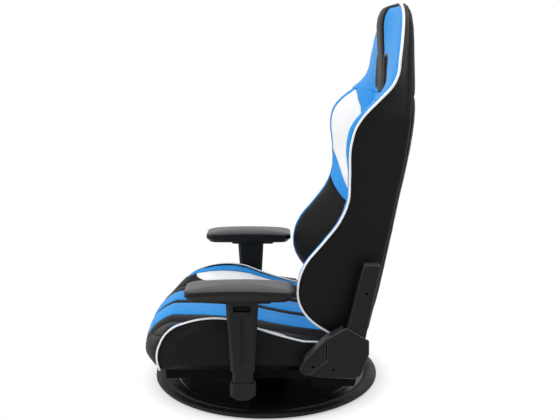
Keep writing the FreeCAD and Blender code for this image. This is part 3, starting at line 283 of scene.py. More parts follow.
def leather(name, colour, roughness=0.42, specular=0.35, stitched=True, wear=1.25, top_highlight=0.0):
    """Coated leather: pebbled grain, soft creases, uneven gloss, painted shade along the seams, a row
    of stitches, and where asked a painted highlight on faces that look upward.
    """
    paint = new_material(name)
    maths, blend = paint.maths, paint.blend
    grain = paint.add("TexVoronoi", {"Vector": paint.place, "Scale": 620.0, "Randomness": 0.9},
                      "Distance", feature="DISTANCE_TO_EDGE")
    pebble = paint.ramp(grain, 0.0, 0.28)
    crease = paint.clouds(95.0, 5.0, Roughness=0.6)
    cloud = paint.clouds(9.0, 3.0)
    base = blend(paint.ramp(cloud, 0.3, 0.7), shade(colour, 0.93), shade(colour, 1.06))
    base = blend(maths("MULTIPLY", maths("SUBTRACT", 1.0, pebble), 0.22), base, shade(colour, 0.7))
    base = blend(maths("MULTIPLY", maths("POWER", crease, 4.0), 0.5), base, shade(colour, wear))
    # Painted highlight: faces that look upward are made lighter, as if lit from above
    if top_highlight:
        lit_top_share = maths("MULTIPLY", paint.upward(0.95), maths("MULTIPLY_ADD", crease, 0.5, 0.6))
        base = blend(lit_top_share, base, shade(top_highlight))
    height = maths("ADD", maths("MULTIPLY", pebble, 0.00012), maths("MULTIPLY", crease, 0.0005))
    if stitched:
        seam, run = (paint.add("Attribute", output="Fac", attribute_name=word)
                     for word in ("seam", "run"))
        line = maths("ABSOLUTE", maths("SUBTRACT", seam, 0.0055))
        stitch = maths("LESS_THAN", maths("FRACT", maths("DIVIDE", run, 0.0045)), 0.72)
        thread = maths("MULTIPLY", maths("LESS_THAN", line, 0.0005), stitch)
        # Painted shade: the colour darkens toward each seam, where the panels sink into the groove
        base = blend(paint.ramp(seam, 0.0, 0.0022, 0.75, 0.0), base, shade(colour, 0.25))
        base = blend(maths("MULTIPLY", thread, 0.6), base, shade(colour, 1.5))
        dimple = maths("MULTIPLY", maths("LESS_THAN", line, 0.0012), -0.0002)
        height = maths("ADD", height, maths("ADD", dimple, maths("MULTIPLY", thread, 0.0004)))
    gloss = maths("MULTIPLY_ADD", cloud, 0.16, roughness - 0.05)
    return paint.finish(base, height, 0.7, {"Roughness": maths("MULTIPLY_ADD", pebble, -0.06, gloss),
                                            "Specular IOR Level": specular})


def moulded(name, colour, roughness=0.4, specular=0.4, texture=900.0, depth=0.00005, edge=2.2,
            top_light=0.0):
    """Moulded plastic or paint: fine spark texture, faint flow marks, edges made lighter as wear and as
    a painted highlight, and painted light on faces that look upward.
    """
    paint = new_material(name)
    maths, blend = paint.maths, paint.blend
    spark, flow = paint.clouds(texture, 2.0), paint.clouds(22.0, 4.0)
    # Convex edges made lighter: partly edge wear, partly a painted highlight
    worn_and_lit_edges = paint.ramp(paint.add("NewGeometry", output="Pointiness"), 0.52, 0.62, 0.0, 0.6)
    base = blend(flow, shade(colour, 0.9), shade(colour, 1.12))
    base = blend(worn_and_lit_edges, base, shade(colour, edge))
    # Painted light: faces that look upward are made lighter, as if lit from above
    if top_light:
        upward_light_share = maths("MULTIPLY", paint.upward(0.85), maths("MULTIPLY_ADD", flow, 0.5, 0.5))
        base = blend(upward_light_share, base, shade(top_light))
    gloss = maths("MULTIPLY_ADD", flow, 0.14, roughness - 0.07)
    return paint.finish(base, maths("MULTIPLY", spark, depth), 0.6,
                        {"Roughness": gloss, "Specular IOR Level": specular})


def brushed_metal(name, colour, roughness=0.3):
    """Zinc plated steel with faint streaks and duller patches."""
    paint = new_material(name)
    stretched = paint.add("Mapping", {"Vector": paint.place, "Scale": (400.0, 400.0, 20.0)})
    streak = paint.clouds(1.0, 3.0, Vector=stretched)
    base = paint.blend(paint.clouds(45.0, 3.0), shade(colour, 0.85), shade(colour, 1.1))
    gloss = paint.maths("MULTIPLY_ADD", streak, 0.2, roughness - 0.1)
    return paint.finish(base, paint.maths("MULTIPLY", streak, 0.00004), 1.0,
                        {"Roughness": gloss, "Metallic": 1.0})


def woven(name, colour, pitch, roughness=0.9, depth=0.0003):
    """Cloth, webbing or felt: crossed threads with fibres of uneven tone."""
    paint = new_material(name)
    maths = paint.maths
    threads = []
    for axis in ("X", "Z"):
        turn = maths("MULTIPLY", paint.add("SeparateXYZ", {0: paint.place}, axis), 2 * math.pi / pitch)
        threads.append(maths("ABSOLUTE", maths("SINE", turn)))
    weave = maths("MULTIPLY", *threads)
    fibre = paint.clouds(700.0, 3.0)
    base = paint.blend(fibre, shade(colour, 0.7), shade(colour, 1.3))
    base = paint.blend(maths("MULTIPLY", weave, 0.4), base, shade(colour, 1.5))
    return paint.finish(base, maths("MULTIPLY", maths("ADD", weave, fibre), depth), 1.0,
                        {"Roughness": roughness})


def wood(name):
    """Dark stained plywood: long grain with lighter lines."""
    paint = new_material(name)
    along = paint.add("Mapping", {"Vector": paint.place, "Scale": (60.0, 5.0, 60.0)})
    grain = paint.clouds(3.0, 6.0, Vector=along, Distortion=0.6)
    base = paint.blend(grain, shade((0.006, 0.004, 0.003)), shade((0.016, 0.011, 0.008)))
    return paint.finish(base, paint.maths("MULTIPLY", grain, 0.0003), 1.0, {"Roughness": 0.65})


BLACK = (0.0066, 0.0063, 0.0063)
BLUE = (0.030, 0.290, 0.725)
WHITE = 0.90
black = leather("black_leather", BLACK, 0.46, 0.10, wear=2.0)
blue = leather("blue_leather", BLUE, 0.48, 0.14, wear=1.3)
white = leather("white_leather", WHITE, 0.45, wear=1.05)
white_piping = leather("white_piping", WHITE, 0.42, stitched=False, wear=1.05)
# The pad's upward faces get a painted highlight
pad_skin = leather("pad_skin", 0.0040, 0.32, 0.22, stitched=False, wear=1.5, top_highlight=0.075)
rim_skin = leather("rim_skin", 0.0045, 0.42, 0.16, stitched=False, wear=1.6)
# Satin plastic, with painted light on its upward faces
satin_plastic = moulded("satin_plastic", 0.0062, specular=0.18, edge=3.5, top_light=0.05)
gloss_plastic = moulded("gloss_plastic", 0.005, 0.2, 0.3, depth=0.00001)
# A black button darkened further: painted shade of the recess it sits in
button_plastic = moulded("button_plastic", 0.0012, 0.25, 0.08, depth=0.00001)
black_paint = moulded("black_paint", 0.0016, 0.5, 0.05, texture=300.0, depth=0.00008)
plated_steel = brushed_metal("plated_steel", (0.55, 0.55, 0.57))
black_zinc = brushed_metal("black_zinc", (0.004, 0.004, 0.0042), 0.4)
# Lighter plastic for the bevels of lit edges: a painted highlight
edge_highlight_paint = moulded("edge_highlight_paint", 0.045, 0.35, 0.3, edge=1.5, top_light=0.12)
felt_cloth = woven("felt_cloth", 0.03, 0.0014)
webbing_cloth = woven("webbing_cloth", (0.02, 0.02, 0.022), 0.0030, 0.8)
plywood_board = wood("plywood_board")

# The slot that goes with each material. Any other material goes with plastic_black
SLOTS = {
    "black_leather": "leather_black", "blue_leather": "leather_blue", "white_leather": "leather_white",
    "white_piping": "leather_white", "pad_skin": "arm_pad_skin", "button_plastic": "button_gloss",
}


# Shape helpers

def curve(xs, ys):
    """A smooth curve through points, by cubic pieces with averaged slopes."""
    xs, ys = np.asarray(xs, float), np.asarray(ys, float)
    slopes = np.gradient(ys, xs)

    def at(x):
        x = np.clip(x, xs[0], xs[-1])
        i = np.clip(np.searchsorted(xs, x, side="right") - 1, 0, len(xs) - 2)
        step = xs[i + 1] - xs[i]
        t = (x - xs[i]) / step
        return ((1 - t) ** 2 * ((1 + 2 * t) * ys[i] + t * step * slopes[i])
                + t * t * ((3 - 2 * t) * ys[i + 1] + (t - 1) * step * slopes[i + 1]))

    return at


def unit(v):
    return v / np.maximum(np.linalg.norm(v, axis=-1, keepdims=True), 1e-12)


def floats(*values):
    """Numbers and arrays brought to one shape."""
    return np.broadcast_arrays(*(np.asarray(v, float) for v in values))


def stack(x, y, z):
    return np.stack(floats(x, y, z), axis=-1)


def mirror_if(points, side):
    """The same points on the chair's other side when side is -1."""
    points = np.array(points, float)
    points[..., 0] *= side
    return points


def new_object(name, data):
    thing = bpy.data.objects.new(name, data)
    bpy.context.scene.collection.objects.link(thing)
    return thing


def make_object(name, verts, faces, material, smooth_shading=True):
    mesh = bpy.data.meshes.new(name)
    mesh.from_pydata([tuple(v) for v in verts], [], faces)
    mesh.materials.append(material)
    if smooth_shading:
        mesh.polygons.foreach_set("use_smooth", [True] * len(mesh.polygons))
    mesh.update()
    return new_object(name, mesh)


@contextmanager
def edited(piece):
    """The piece's mesh, open for editing and written back at the end."""
    shape = bmesh.new()
    shape.from_mesh(piece.data)
    yield shape
    shape.to_mesh(piece.data)
    shape.free()


def apply_modifiers(piece):
    """Bakes the piece's modifiers into its mesh."""
    graph = bpy.context.evaluated_depsgraph_get()
    mesh = bpy.data.meshes.new_from_object(piece.evaluated_get(graph))
    old = piece.data
    piece.modifiers.clear()
    piece.data = mesh
    mesh.name = piece.name
    bpy.data.meshes.remove(old)


def point_outward(piece):
    """Makes all faces of a closed piece look outward."""
    with edited(piece) as shape:
        bmesh.ops.recalc_face_normals(shape, faces=shape.faces)


def belongs(piece, body):
    """Puts a piece on its body, and looks up the slot of its material without keeping it."""
    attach(piece, body)
    SLOTS.get(piece.data.materials[0].name, "plastic_black")


def closed_piece(name, verts, faces, material, body, smooth_shading=True):
    piece = make_object(name, verts, faces, material, smooth_shading)
    point_outward(piece)
    belongs(piece, body)
    return piece


def box(name):
    """The lowest and the highest corner of a solid."""
    return (np.array(tuple(corner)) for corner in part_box(name))


def grid_faces(rows, columns, closed=False, ring=False):
    """The faces of a grid. Closed joins its last column to its first, and ring its last row."""
    faces = []
    for i in range(rows if ring else rows - 1):
        n = (i + 1) % rows
        for j in range(columns if closed else columns - 1):
            k = (j + 1) % columns
            faces.append((i * columns + j, i * columns + k, n * columns + k, n * columns + j))
    return faces


def end_faces(rows, columns):
    """One face over each end of a tube of points."""
    return [tuple(range(columns)), tuple(range((rows - 1) * columns, rows * columns))]


def wrinkle(point, run, seam):
    """Small gathers that fade away from a seam, and broad unevenness of the foam."""
    gather = math.sin(run * 2 * math.pi / 0.031 + 5 * noise.noise(Vector(point) * 14))
    gather *= 0.00035 * math.exp(-seam / 0.016)
    return gather + 0.0007 * noise.noise(Vector(point) * 17) + 0.0004 * noise.noise(Vector(point) * 45)


def open_slots(shape):
    """Opens both belt slots in a mesh, and moves the points around them onto their outline."""
    def offset(place):
        beyond = max(abs(place.z - SLOT_Z) - SLOT_STRAIGHT, 0) * (1 if place.z > SLOT_Z else -1)
        return Vector((abs(place.x) - SLOT_X, beyond))

    inside = [f for f in shape.faces if offset(f.calc_center_median()).length < SLOT_HALF_WIDTH]
    rim = {v for f in inside for v in f.verts}
    bmesh.ops.delete(shape, geom=inside, context="FACES")
    for vert in rim:
        if not vert.is_valid:
            continue
        away = offset(vert.co)
        move = away.normalized() * (SLOT_HALF_WIDTH + 0.0003 - away.length)
        vert.co.x += move.x if vert.co.x > 0 else -move.x
        vert.co.z += move.y


def sewn(name, base, normal, seam, run, body, material, side, puff, depth=PAD_DEPTH, closed=False,
         slotted=False):
    """A padded skin over a grid of points. Its edges sink into the seams and its middle swells."""
    rise = -SINK + (SINK + puff) * (1 - np.exp(-seam / SEAM_RADIUS))
    ripple = np.array([wrinkle(p, r, s) for p, r, s in
                       zip(base.reshape(-1, 3), run.ravel(), seam.ravel())]).reshape(seam.shape)
    points = base + normal * (rise + ripple * np.minimum(1, seam / 0.004))[..., None]
    points, outward = mirror_if(points, side), mirror_if(normal, side).reshape(-1, 3).sum(axis=0)
    piece = make_object(name, points.reshape(-1, 3), grid_faces(*seam.shape, closed), material)
    for label, values in (("seam", seam), ("run", run)):
        attribute = piece.data.attributes.new(label, "FLOAT", "POINT")
        attribute.data.foreach_set("value", values.ravel().astype(np.float32))
    with edited(piece) as shape:
        bmesh.ops.remove_doubles(shape, verts=shape.verts, dist=0.0003)
        bmesh.ops.dissolve_degenerate(shape, edges=shape.edges, dist=0.0001)
        shape.normal_update()
        total = sum((f.normal * f.calc_area() for f in shape.faces), Vector())
        if total.dot(Vector(outward)) < 0:
            bmesh.ops.reverse_faces(shape, faces=shape.faces)
        if slotted:
            open_slots(shape)
    set_all(piece.modifiers.new("thick", "SOLIDIFY"), thickness=depth, offset=-1.0)
    apply_modifiers(piece)
    belongs(piece, body)


def spread(count):
    """Shares from 0 to 1, closer together at both ends."""
    share = np.linspace(0, 1, count)
    return 0.5 * share + 0.25 * (1 - np.cos(math.pi * share))


def lengths(points, axis):
    """Distance run along one axis of a grid or a path of points."""
    steps = np.linalg.norm(np.diff(points, axis=axis), axis=-1)
    return np.insert(np.cumsum(steps, axis=axis), 0, 0, axis=axis)


def border(*points):
    """A border through (v, u) points, as a function of v."""
    vs, us = zip(*points)
    return lambda v: np.interp(np.asarray(v, float), vs, us)


def panel(name, surface, low, high, start, end, material, outward=AHEAD, body="back", side=1,
          puff=0.0025, spacing=0.005, open_start=False, open_end=False, **more):
    """One sewn panel of surface(u, v), from u = low to high and from v = start to end.

    Low and high are numbers or functions of v. An open end has no seam."""
    low, high = (b if callable(b) else border((0, b)) for b in (low, high))
    v = np.linspace(start, end, 400)
    run = lengths(surface((low(v) + high(v)) / 2, v), 0)
    across = np.linalg.norm(surface(high(v), v) - surface(low(v), v), axis=1).max()
    rows, columns = max(7, int(run[-1] / spacing) + 1), max(6, int(across / spacing) + 1)
    v = np.interp(spread(rows) * run[-1], run, v)[:, None] * np.ones((1, columns))
    u = low(v) + (high(v) - low(v)) * spread(columns)[None, :]
    base = surface(u, v)
    step_u, step_v = max(float((high(v) - low(v)).max()) * 0.01, 1e-5), (end - start) * 0.002
    normal = unit(np.cross(surface(u + step_u, v) - surface(u - step_u, v),
                           surface(u, v + step_v) - surface(u, v - step_v)))
    if (normal * np.array(outward)).sum() < 0:
        normal = -normal
    run_u, run_v = lengths(base, 1), lengths(base, 0)
    edge_u = np.minimum(run_u, run_u[:, -1:] - run_u)
    far = np.ones_like(run_v)
    edge_v = np.minimum(far if open_start else run_v, far if open_end else run_v[-1:, :] - run_v)
    sewn(name, base, normal, np.minimum(edge_u, edge_v), np.where(edge_u < edge_v, run_v, run_u),
         body, material, side, puff, **more)


def piping(name, path, radius, body):
    """A round cord along a path of points, with closed ends, of one radius or one at each point."""
    radii = np.broadcast_to(radius, len(path))
    ahead = unit(np.gradient(path, axis=0))
    across = unit(np.cross(ahead[0], np.array([0.31, 0.17, 0.93])))
    angles = 2 * math.pi * np.arange(PIPING_SIDES)[:, None] / PIPING_SIDES
    verts = []
    for place, way, radius in zip(path, ahead, radii):
        across = unit(across - way * np.dot(across, way))
        up = np.cross(way, across)
        verts.extend(place + radius * (np.cos(angles) * across + np.sin(angles) * up))
    faces = grid_faces(len(path), PIPING_SIDES, True) + end_faces(len(path), PIPING_SIDES)
    closed_piece(name, verts, faces, white_piping, body)


def inset(ring_points, distance):
    """A closed planar ring moved inward by a distance, trimmed where it would cross itself."""
    following = np.roll(ring_points, -1, axis=0)
    ahead = unit(following - np.roll(ring_points, 1, axis=0))
    middle = ring_points.mean(axis=0)
    area = np.cross(ring_points - middle, following - middle).sum(axis=0)
    moved = ring_points + distance * np.cross(unit(area), ahead)
    start, run = ring_points[None], (following - ring_points)[None]
    share = ((moved[:, None] - start) * run).sum(axis=2) / np.maximum((run ** 2).sum(axis=2), 1e-12)
    near = start + np.clip(share, 0, 1)[..., None] * run
    good = np.linalg.norm(moved[:, None] - near, axis=2).min(axis=1) > 0.93 * distance
    if good.all() or not good.any():
        return moved
    count, places = len(moved), np.flatnonzero(good)
    return np.stack([np.interp(np.arange(count), places, moved[places, k], period=count)
                     for k in range(3)], axis=1)


def core(name, rings, body):
    """A closed foam core through rings of points, under the sewn panels."""
    piece = make_object(name, np.concatenate(rings), grid_faces(len(rings), len(rings[0]), True), black)
    with edited(piece) as shape:
        bmesh.ops.remove_doubles(shape, verts=shape.verts, dist=0.00002)
        left = {e for e in shape.edges if e.is_boundary}
        while left:
            loop, waiting = [], [left.pop()]
            while waiting:
                edge = waiting.pop()
                loop.append(edge)
                linked = [e for v in edge.verts for e in v.link_edges if e in left]
                left.difference_update(linked)
                waiting += linked
            bmesh.ops.triangle_fill(shape, use_beauty=True, edges=loop)
        bmesh.ops.recalc_face_normals(shape, faces=shape.faces)
    belongs(piece, body)
    return piece


# The backrest's surfaces, by height

half_width, row_height, crest_share, crest_way, reach, rear_reach, corner_share = np.array(
    [(WAIST_HALF_WIDTH,) + r for r in WAIST_ROWS]
    + [(SHOULDER_HALF_WIDTH,) + r for r in SHOULDER_ROWS]).T
row_z = BACK_BOTTOM + row_height * BACK_HEIGHT
row_line = LINE_Y + (np.minimum(row_z, LINE_TOP) - LINE_Z) * LINE_SLOPE
crest_x = curve(row_z, half_width * crest_share)
crest_y = curve(row_z, WING_FRONT + crest_way * (row_line - WING_FRONT))
front_y = curve(row_z, row_line - reach * BACK_THICKNESS)
rear_line = curve(row_z, row_line + rear_reach * BACK_THICKNESS)
corner_x = curve(row_z, half_width * corner_share)
swell_at, drop_at, strip_inset_at, piping_behind_at = (
    curve(*zip(*table)) for table in (SWELL, HEAD_DROP, STRIP_INSET, PIPING_BEHIND))


def rear_y(x, z):
    return rear_line(z) - REAR_RADIUS + np.sqrt(REAR_RADIUS ** 2 - x ** 2)


def corner_round(z):
    depth = rear_y(corner_x(z), z) - crest_y(z) - 0.005
    return np.clip(0.4 * depth, 0.001, CORNER_ROUND)


def centre_edge(z):
    """Half width of the centre of the back, and of the flat middle of the head."""
    return np.where(z < HEAD_JOINT, CORE_HALF_WIDTH, HEAD_PANEL_SHARE * crest_x(z))


def front_line(z):
    """The foremost line of the padding, inboard of the piping."""
    return crest_x(z) - np.minimum(CREST_INSET, crest_x(z) * 0.2), crest_y(z) - swell_at(z)


def front_surface(x, z):
    """The front of the back, out to the foremost line on either side."""
    x, z = floats(x, z)
    sign, x = np.where(x < 0, -1.0, 1.0), np.abs(x)
    edge = centre_edge(z)
    line_x, line_y = front_line(z)
    joint_y = front_y(z) + CORE_CROWN
    t = (x - edge) / np.maximum(line_x - edge, 1e-6)
    chord = np.hypot(line_x - edge, line_y - joint_y)
    upright = np.clip((z - HEAD_JOINT + 0.03) / 0.06, 0, 1)
    bulge = 0.045 * chord * 4 * t * (1 - t) * (1 - 0.8 * np.clip((z - 0.79) / 0.08, 0, 1))
    lean = (line_y - joint_y) / np.maximum(chord, 1e-6) * (1 - upright)
    drop = drop_at(z) * np.clip((x - HEAD_MIDDLE_X + 0.002) / 0.025, 0, 1)
    drop = drop * (1 - np.clip((x - 0.085) / np.maximum(line_x - 0.085, 1e-6), 0, 1) ** 2)
    inside = x <= edge
    return stack(sign * np.where(inside, x, x + lean * bulge),
                 drop + np.where(inside, front_y(z) + CORE_CROWN * (x / edge) ** 2,
                                 joint_y + (line_y - joint_y) * t - np.sqrt(1 - lean ** 2) * bulge), z)


def strip_start_x(z):
    """Where the coloured strip round the crest begins, inboard of the foremost line."""
    return front_line(z)[0] - strip_inset_at(z)


def seam_y(z):
    """Where the piping runs."""
    return crest_y(z) + piping_behind_at(z)


def crest_surface(u, z):
    """Round the crest, from the strip's inner seam (0) to the piping (1)."""
    u, z = floats(u, z)
    line_x, line_y = front_line(z)
    start = front_surface(strip_start_x(z), z)
    places = [(start[..., 0], start[..., 1]), (line_x - 0.001, line_y - 0.0015),
              (crest_x(z) - 0.001, line_y + 0.001), (crest_x(z) - 0.001, seam_y(z) - 0.001)]
    weights = [(1 - u) ** 3, 3 * u * (1 - u) ** 2, 3 * u * u * (1 - u), u ** 3]
    return stack(*(sum(w * p[k] for w, p in zip(weights, places)) for k in range(2)), z)


def head_surface(u, z):
    """The head's side, from its raised middle (0) over the crest to the piping (1)."""
    u, z = floats(u, z)
    reach_x = (strip_start_x(z) - HEAD_MIDDLE_X) * np.minimum(u / HEAD_FLAT, 1)
    return np.where((u < HEAD_FLAT)[..., None], front_surface(HEAD_MIDDLE_X + reach_x, z),
                    crest_surface((u - HEAD_FLAT) / (1 - HEAD_FLAT), z))


def flank_surface(u, z):
    """The outer side, from the piping (0) over the rear corner (1)."""
    u, z = floats(u, z)
    start_x, start_y = crest_x(z), seam_y(z) + 0.0015
    radius = corner_round(z)
    run_x = corner_x(z) - start_x
    run_y = rear_y(corner_x(z), z) - radius - start_y
    t = np.clip(u / FLANK_FLAT, None, 1)
    bulge = 0.012 * 4 * t * (1 - t) * np.hypot(run_x, run_y)
    turn = np.clip((u - FLANK_FLAT) / (1 - FLANK_FLAT), 0, None) * math.pi / 2
    return stack(start_x + run_x * t + bulge - radius * (1 - np.cos(turn)),
                 start_y + run_y * t + radius * np.sin(turn), z)


def rear_surface(x, z):
    return stack(x, rear_y(x, z), z)


def rear_inner_x(z):
    return corner_x(z) - corner_round(z)


def half_ring(z, edge, count):
    """One side of the back at one height: from edge over the crest to the rear and back to edge."""
    z, t = np.full(count, z), np.linspace(0, 1, count)
    rear_x = rear_inner_x(z)
    return np.concatenate([
        front_surface(edge + (strip_start_x(z) - edge) * t, z), crest_surface(t[1:], z[1:]),
        flank_surface(t[1:], z[1:]), rear_surface(rear_x + (edge - rear_x) * t, z)[1:],
    ])


def wing_ring(z, side):
    """The closed outline of one wing at one height."""
    return inset(mirror_if(half_ring(z, centre_edge(z), 14), side), CORE_INSET)


def head_ring(z):
    """The closed outline of the whole head at one height, lowered toward the top."""
    half = half_ring(z, 0.0, 18)
    half[:, 2] -= HEAD_CORE_DROP * (z - HEAD_JOINT) / (BACK_TOP - HEAD_JOINT)
    return inset(np.concatenate([half, mirror_if(half[-2:0:-1], -1)]), CORE_INSET)


def centre_ring(z):
    """The closed outline of the centre of the back at one height."""
    x = np.linspace(-1, 1, 25) * CORE_HALF_WIDTH
    return inset(np.concatenate([front_surface(x, z), rear_surface(-x, z)]), CORE_INSET)


def make_bezel(side, word):
    """A glossy moulded sleeve through the head with a rounded rim at both ends."""
    lining, lip = 0.0025, 0.0085
    # The front rim's reach round the sleeve and its place behind the head's face
    rim = [(0.0, 0.004), (0.0004, -0.0012), (0.002, -0.0032), (0.0045, -0.0038), (0.0068, -0.003),
           (lip, -0.0006), (lip, 0.003), (lining, 0.004)]
    count = 16
    turn = np.linspace(0, math.pi, count)
    turn = np.concatenate([turn, turn + math.pi])
    loops = []
    both = [(False, r, s) for r, s in rim] + [(True, r, -s) for r, s in rim[::-1]]
    for rear, reach_out, shift in both:
        half = SLOT_HALF_WIDTH + reach_out - lining
        x = SLOT_X + half * np.cos(turn)
        z = SLOT_Z + half * np.sin(turn) + SLOT_STRAIGHT * np.repeat([1, -1], count)
        y = rear_y(x, z) if rear else front_surface(x, z)[:, 1]
        loops.append(mirror_if(stack(x, y + shift, z), side))
    return closed_piece("slot_bezel_" + word, np.concatenate(loops),
                        grid_faces(len(loops), 2 * count, True, True), gloss_plastic, "back")


def make_back():
    """Centre, wings and head: sewn panels over foam cores, with piping round the crest."""
    bottom, joint, top, edge = BACK_BOTTOM, HEAD_JOINT, BACK_TOP, CORE_HALF_WIDTH
    lower_z = np.linspace(bottom + 0.002, joint, 70)
    upper_z = np.concatenate([np.linspace(joint + 0.0005, top - 0.015, 30),
                              np.linspace(top - 0.014, top - 0.006, 5)])
    middle = core("back_centre_core", [centre_ring(z) for z in lower_z], "back")
    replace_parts(middle, "back_cushion", "back_rear_panel")
    head = core("head_core", [head_ring(z) for z in upper_z], "back")
    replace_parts(head, "head_cushion")
    with edited(head) as shape:
        open_slots(shape)

    def rising(low, high):
        """A seam that rises from the centre's edge to the coloured strip, and follows it from there."""
        seam = border((low, edge), (high, float(strip_start_x(high))))
        return lambda z: np.where(z < high, seam(z), strip_start_x(z))

    waist_seam, band_seam = rising(*WAIST_SEAM), rising(*BAND_SEAM)
    stripe_edge = border((STRIPE_FLARE[0], STRIPE_OUTER_X), (STRIPE_FLARE[1], edge))
    white_seam = border(*WHITE_SEAM, (WHITE_TOP, float(strip_start_x(WHITE_TOP))))
    rear = {"outward": BEHIND, "spacing": 0.007, "puff": 0.0008}

    # The middle, unbroken from side to side
    panel("back_gap_strip", front_surface, -STRIPE_INNER_X, STRIPE_INNER_X, bottom, joint, black,
          puff=0.0005)
    panel("head_middle", front_surface, -HEAD_MIDDLE_X, HEAD_MIDDLE_X, joint, HEAD_END, black,
          puff=0.004)
    panel("rear_lower", rear_surface, -edge, edge, bottom, BACK_REAR_SEAM, black, **rear)
    panel("rear_upper", rear_surface, -edge, edge, BACK_REAR_SEAM, joint, black, **rear)
    panel("head_rear", rear_surface, lambda z: -rear_inner_x(z), rear_inner_x, joint, HEAD_END, black,
          BEHIND, puff=0.0008, slotted=True)
    cap_half = float(front_line(top)[0]) - 0.001

    def cap(x, v):
        near = front_surface(x, top)[..., 1]
        taper = np.clip((np.abs(x) - 0.045) / (cap_half - 0.045), 0, 1)
        far = (rear_y(x, top) - 0.001) * (1 - taper) + (near + 0.006) * taper
        return stack(x, near + (far - near) * v, HEAD_END + 0.002 * np.sin(math.pi * v))

    panel("head_top", cap, -cap_half, cap_half, 0.0, 1.0, black, UP, puff=0.001, depth=0.003)

    for side, word in SIDES:
        wing = core("back_wing_core_" + word, [wing_ring(z, side) for z in lower_z], "back")
        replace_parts(wing, "back_wing_" + word)

        def pair(name, *rest, **more):
            panel(name + "_" + word, *rest, side=side, **more)

        pair("back_stripe", front_surface, STRIPE_INNER_X, stripe_edge, bottom, joint, blue,
             spacing=0.006)
        pair("back_side_strip", front_surface, stripe_edge, edge, bottom, STRIPE_FLARE[1], black,
             puff=0.0015)
        pair("waist_panel", front_surface, waist_seam, strip_start_x, bottom, WAIST_SEAM[1], black)
        pair("diagonal_band", front_surface, band_seam, waist_seam, WAIST_SEAM[0] + POINT_START,
             BAND_SEAM[1], blue, puff=0.002)
        pair("shoulder_panel", front_surface, white_seam, band_seam, BAND_SEAM[0] + POINT_START,
             WHITE_TOP, white)
        pair("upper_panel", front_surface, edge, white_seam, WHITE_SEAM[0][0] + POINT_START, joint,
             blue, open_end=True)
        pair("crest_strip", crest_surface, 0.0, 1.0, bottom, joint, blue, (0.6, -1, 0), puff=0.0,
             spacing=0.004, open_start=True, open_end=True, depth=THIN_PAD)
        pair("outer_side", flank_surface, 0.0, 1.0, bottom, HEAD_END, black, (1, 0, 0), spacing=0.006,
             puff=0.0015, open_start=True, depth=0.0025)
        pair("rear_side", rear_surface, edge, rear_inner_x, bottom, joint, black, **rear)
        pair("head_side", head_surface, 0.0, 1.0, joint - 0.001, HEAD_SIDE_END, blue, depth=THIN_PAD,
             open_start=True, slotted=True)
        pair("head_edge", head_surface, 0.0, 1.0, HEAD_SIDE_END, HEAD_END, black, puff=0.0005,
             depth=THIN_PAD)
        bezel = make_bezel(side, word)
        if side == 1:
            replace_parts(bezel, "belt_slot_bezels")

    z = np.concatenate([np.linspace(bottom, 0.93, 110), np.linspace(0.932, top - 0.0005, 24)])
    over = np.linspace(float(crest_x(top)) - 0.004, 0.004, 12)
    half = np.concatenate([stack(crest_x(z) + 0.0005, seam_y(z), z),
                           stack(over, float(seam_y(top)), top + 0.0005)])
    path = np.concatenate([half, mirror_if(half[::-1], -1)])
    thicker = 1 + 0.24 * np.clip((path[:, 2] - 0.70) / 0.06, 0, 1)
    piping("back_piping", path, PIPING_RADIUS * thicker, "back")


# The seat's surfaces

def outline(shares, t):
    """A side outline through its shares, in arcs from the underside's front corner: (y, z) at t."""
    t = np.asarray(t, float)
    points = np.array([(SEAT_REAR - SEAT_LENGTH + y * SEAT_LENGTH, SEAT_BOTTOM + z * CREST_RISE)
                       for y, z in shares])
    found = np.zeros(t.shape + (2,))
    for i in range(ARCS):
        a, b, c = points[2 * i:2 * i + 3]
        centre = np.linalg.solve(2 * np.array([b - a, c - a]), [b @ b - a @ a, c @ c - a @ a])
        angles = np.unwrap([math.atan2(*(p - centre)[::-1]) for p in (a, b, c)])
        angle = angles[0] + (angles[2] - angles[0]) * (t - i)
        place = centre + np.linalg.norm(a - centre) * np.stack([np.cos(angle), np.sin(angle)], axis=-1)
        here = np.clip(np.floor(t), 0, ARCS - 1) == i
        found[here] = place[here]
    return found


def across_seat(wide, centre, valley, crest):
    """The side outlines blended at a distance from the middle, out to the crest."""
    share = np.minimum(wide / VALLEY_X, 1) ** 2
    climb = np.clip((wide - VALLEY_X) / (CREST_X - VALLEY_X), 0, 1) ** BOLSTER_CLIMB
    return (centre * (1 - share) + valley * share) * (1 - climb) + crest * climb


def seat_surface(x, t):
    """The top of the seat across to the crest, at t along its outlines."""
    x, t = floats(x, t)
    place = across_seat(np.abs(x)[..., None], *(outline(s, t) for s in (CENTRE, VALLEY, CREST)))
    return stack(x, place[..., 0], place[..., 1])


def seat_loop(shares):
    """A closed side outline: over the top, down the rear and back along the underside."""
    top = outline(shares, np.linspace(0, ARCS, 110))
    y = SEAT_REAR - SEAT_LENGTH + shares[-1][0] * SEAT_LENGTH
    corner = np.array([y, max(SEAT_BOTTOM, top[0][1])])
    down, along = np.linspace(top[-1], corner, 7)[1:], np.linspace(corner, top[0], 27)[1:-1]
    return np.concatenate([top, down, along])


def seat_ring(x):
    """The closed outline of the seat at one place across it, inset under the panels."""
    wide = abs(x)
    *inner, side = (seat_loop(s) for s in (CENTRE, VALLEY, CREST, SIDE))
    share = (max(wide - CREST_X, 0) / (SEAT_SIDE_X - CREST_X)) ** SIDE_ROUND
    loop = across_seat(wide, *inner) * (1 - share) + side * share
    ring_points = inset(stack(x, loop[:, 0], loop[:, 1]), CORE_INSET)
    ring_points[loop[:, 1] < SEAT_BOTTOM + 0.002, 2] = SEAT_BOTTOM + 0.0005
    return ring_points


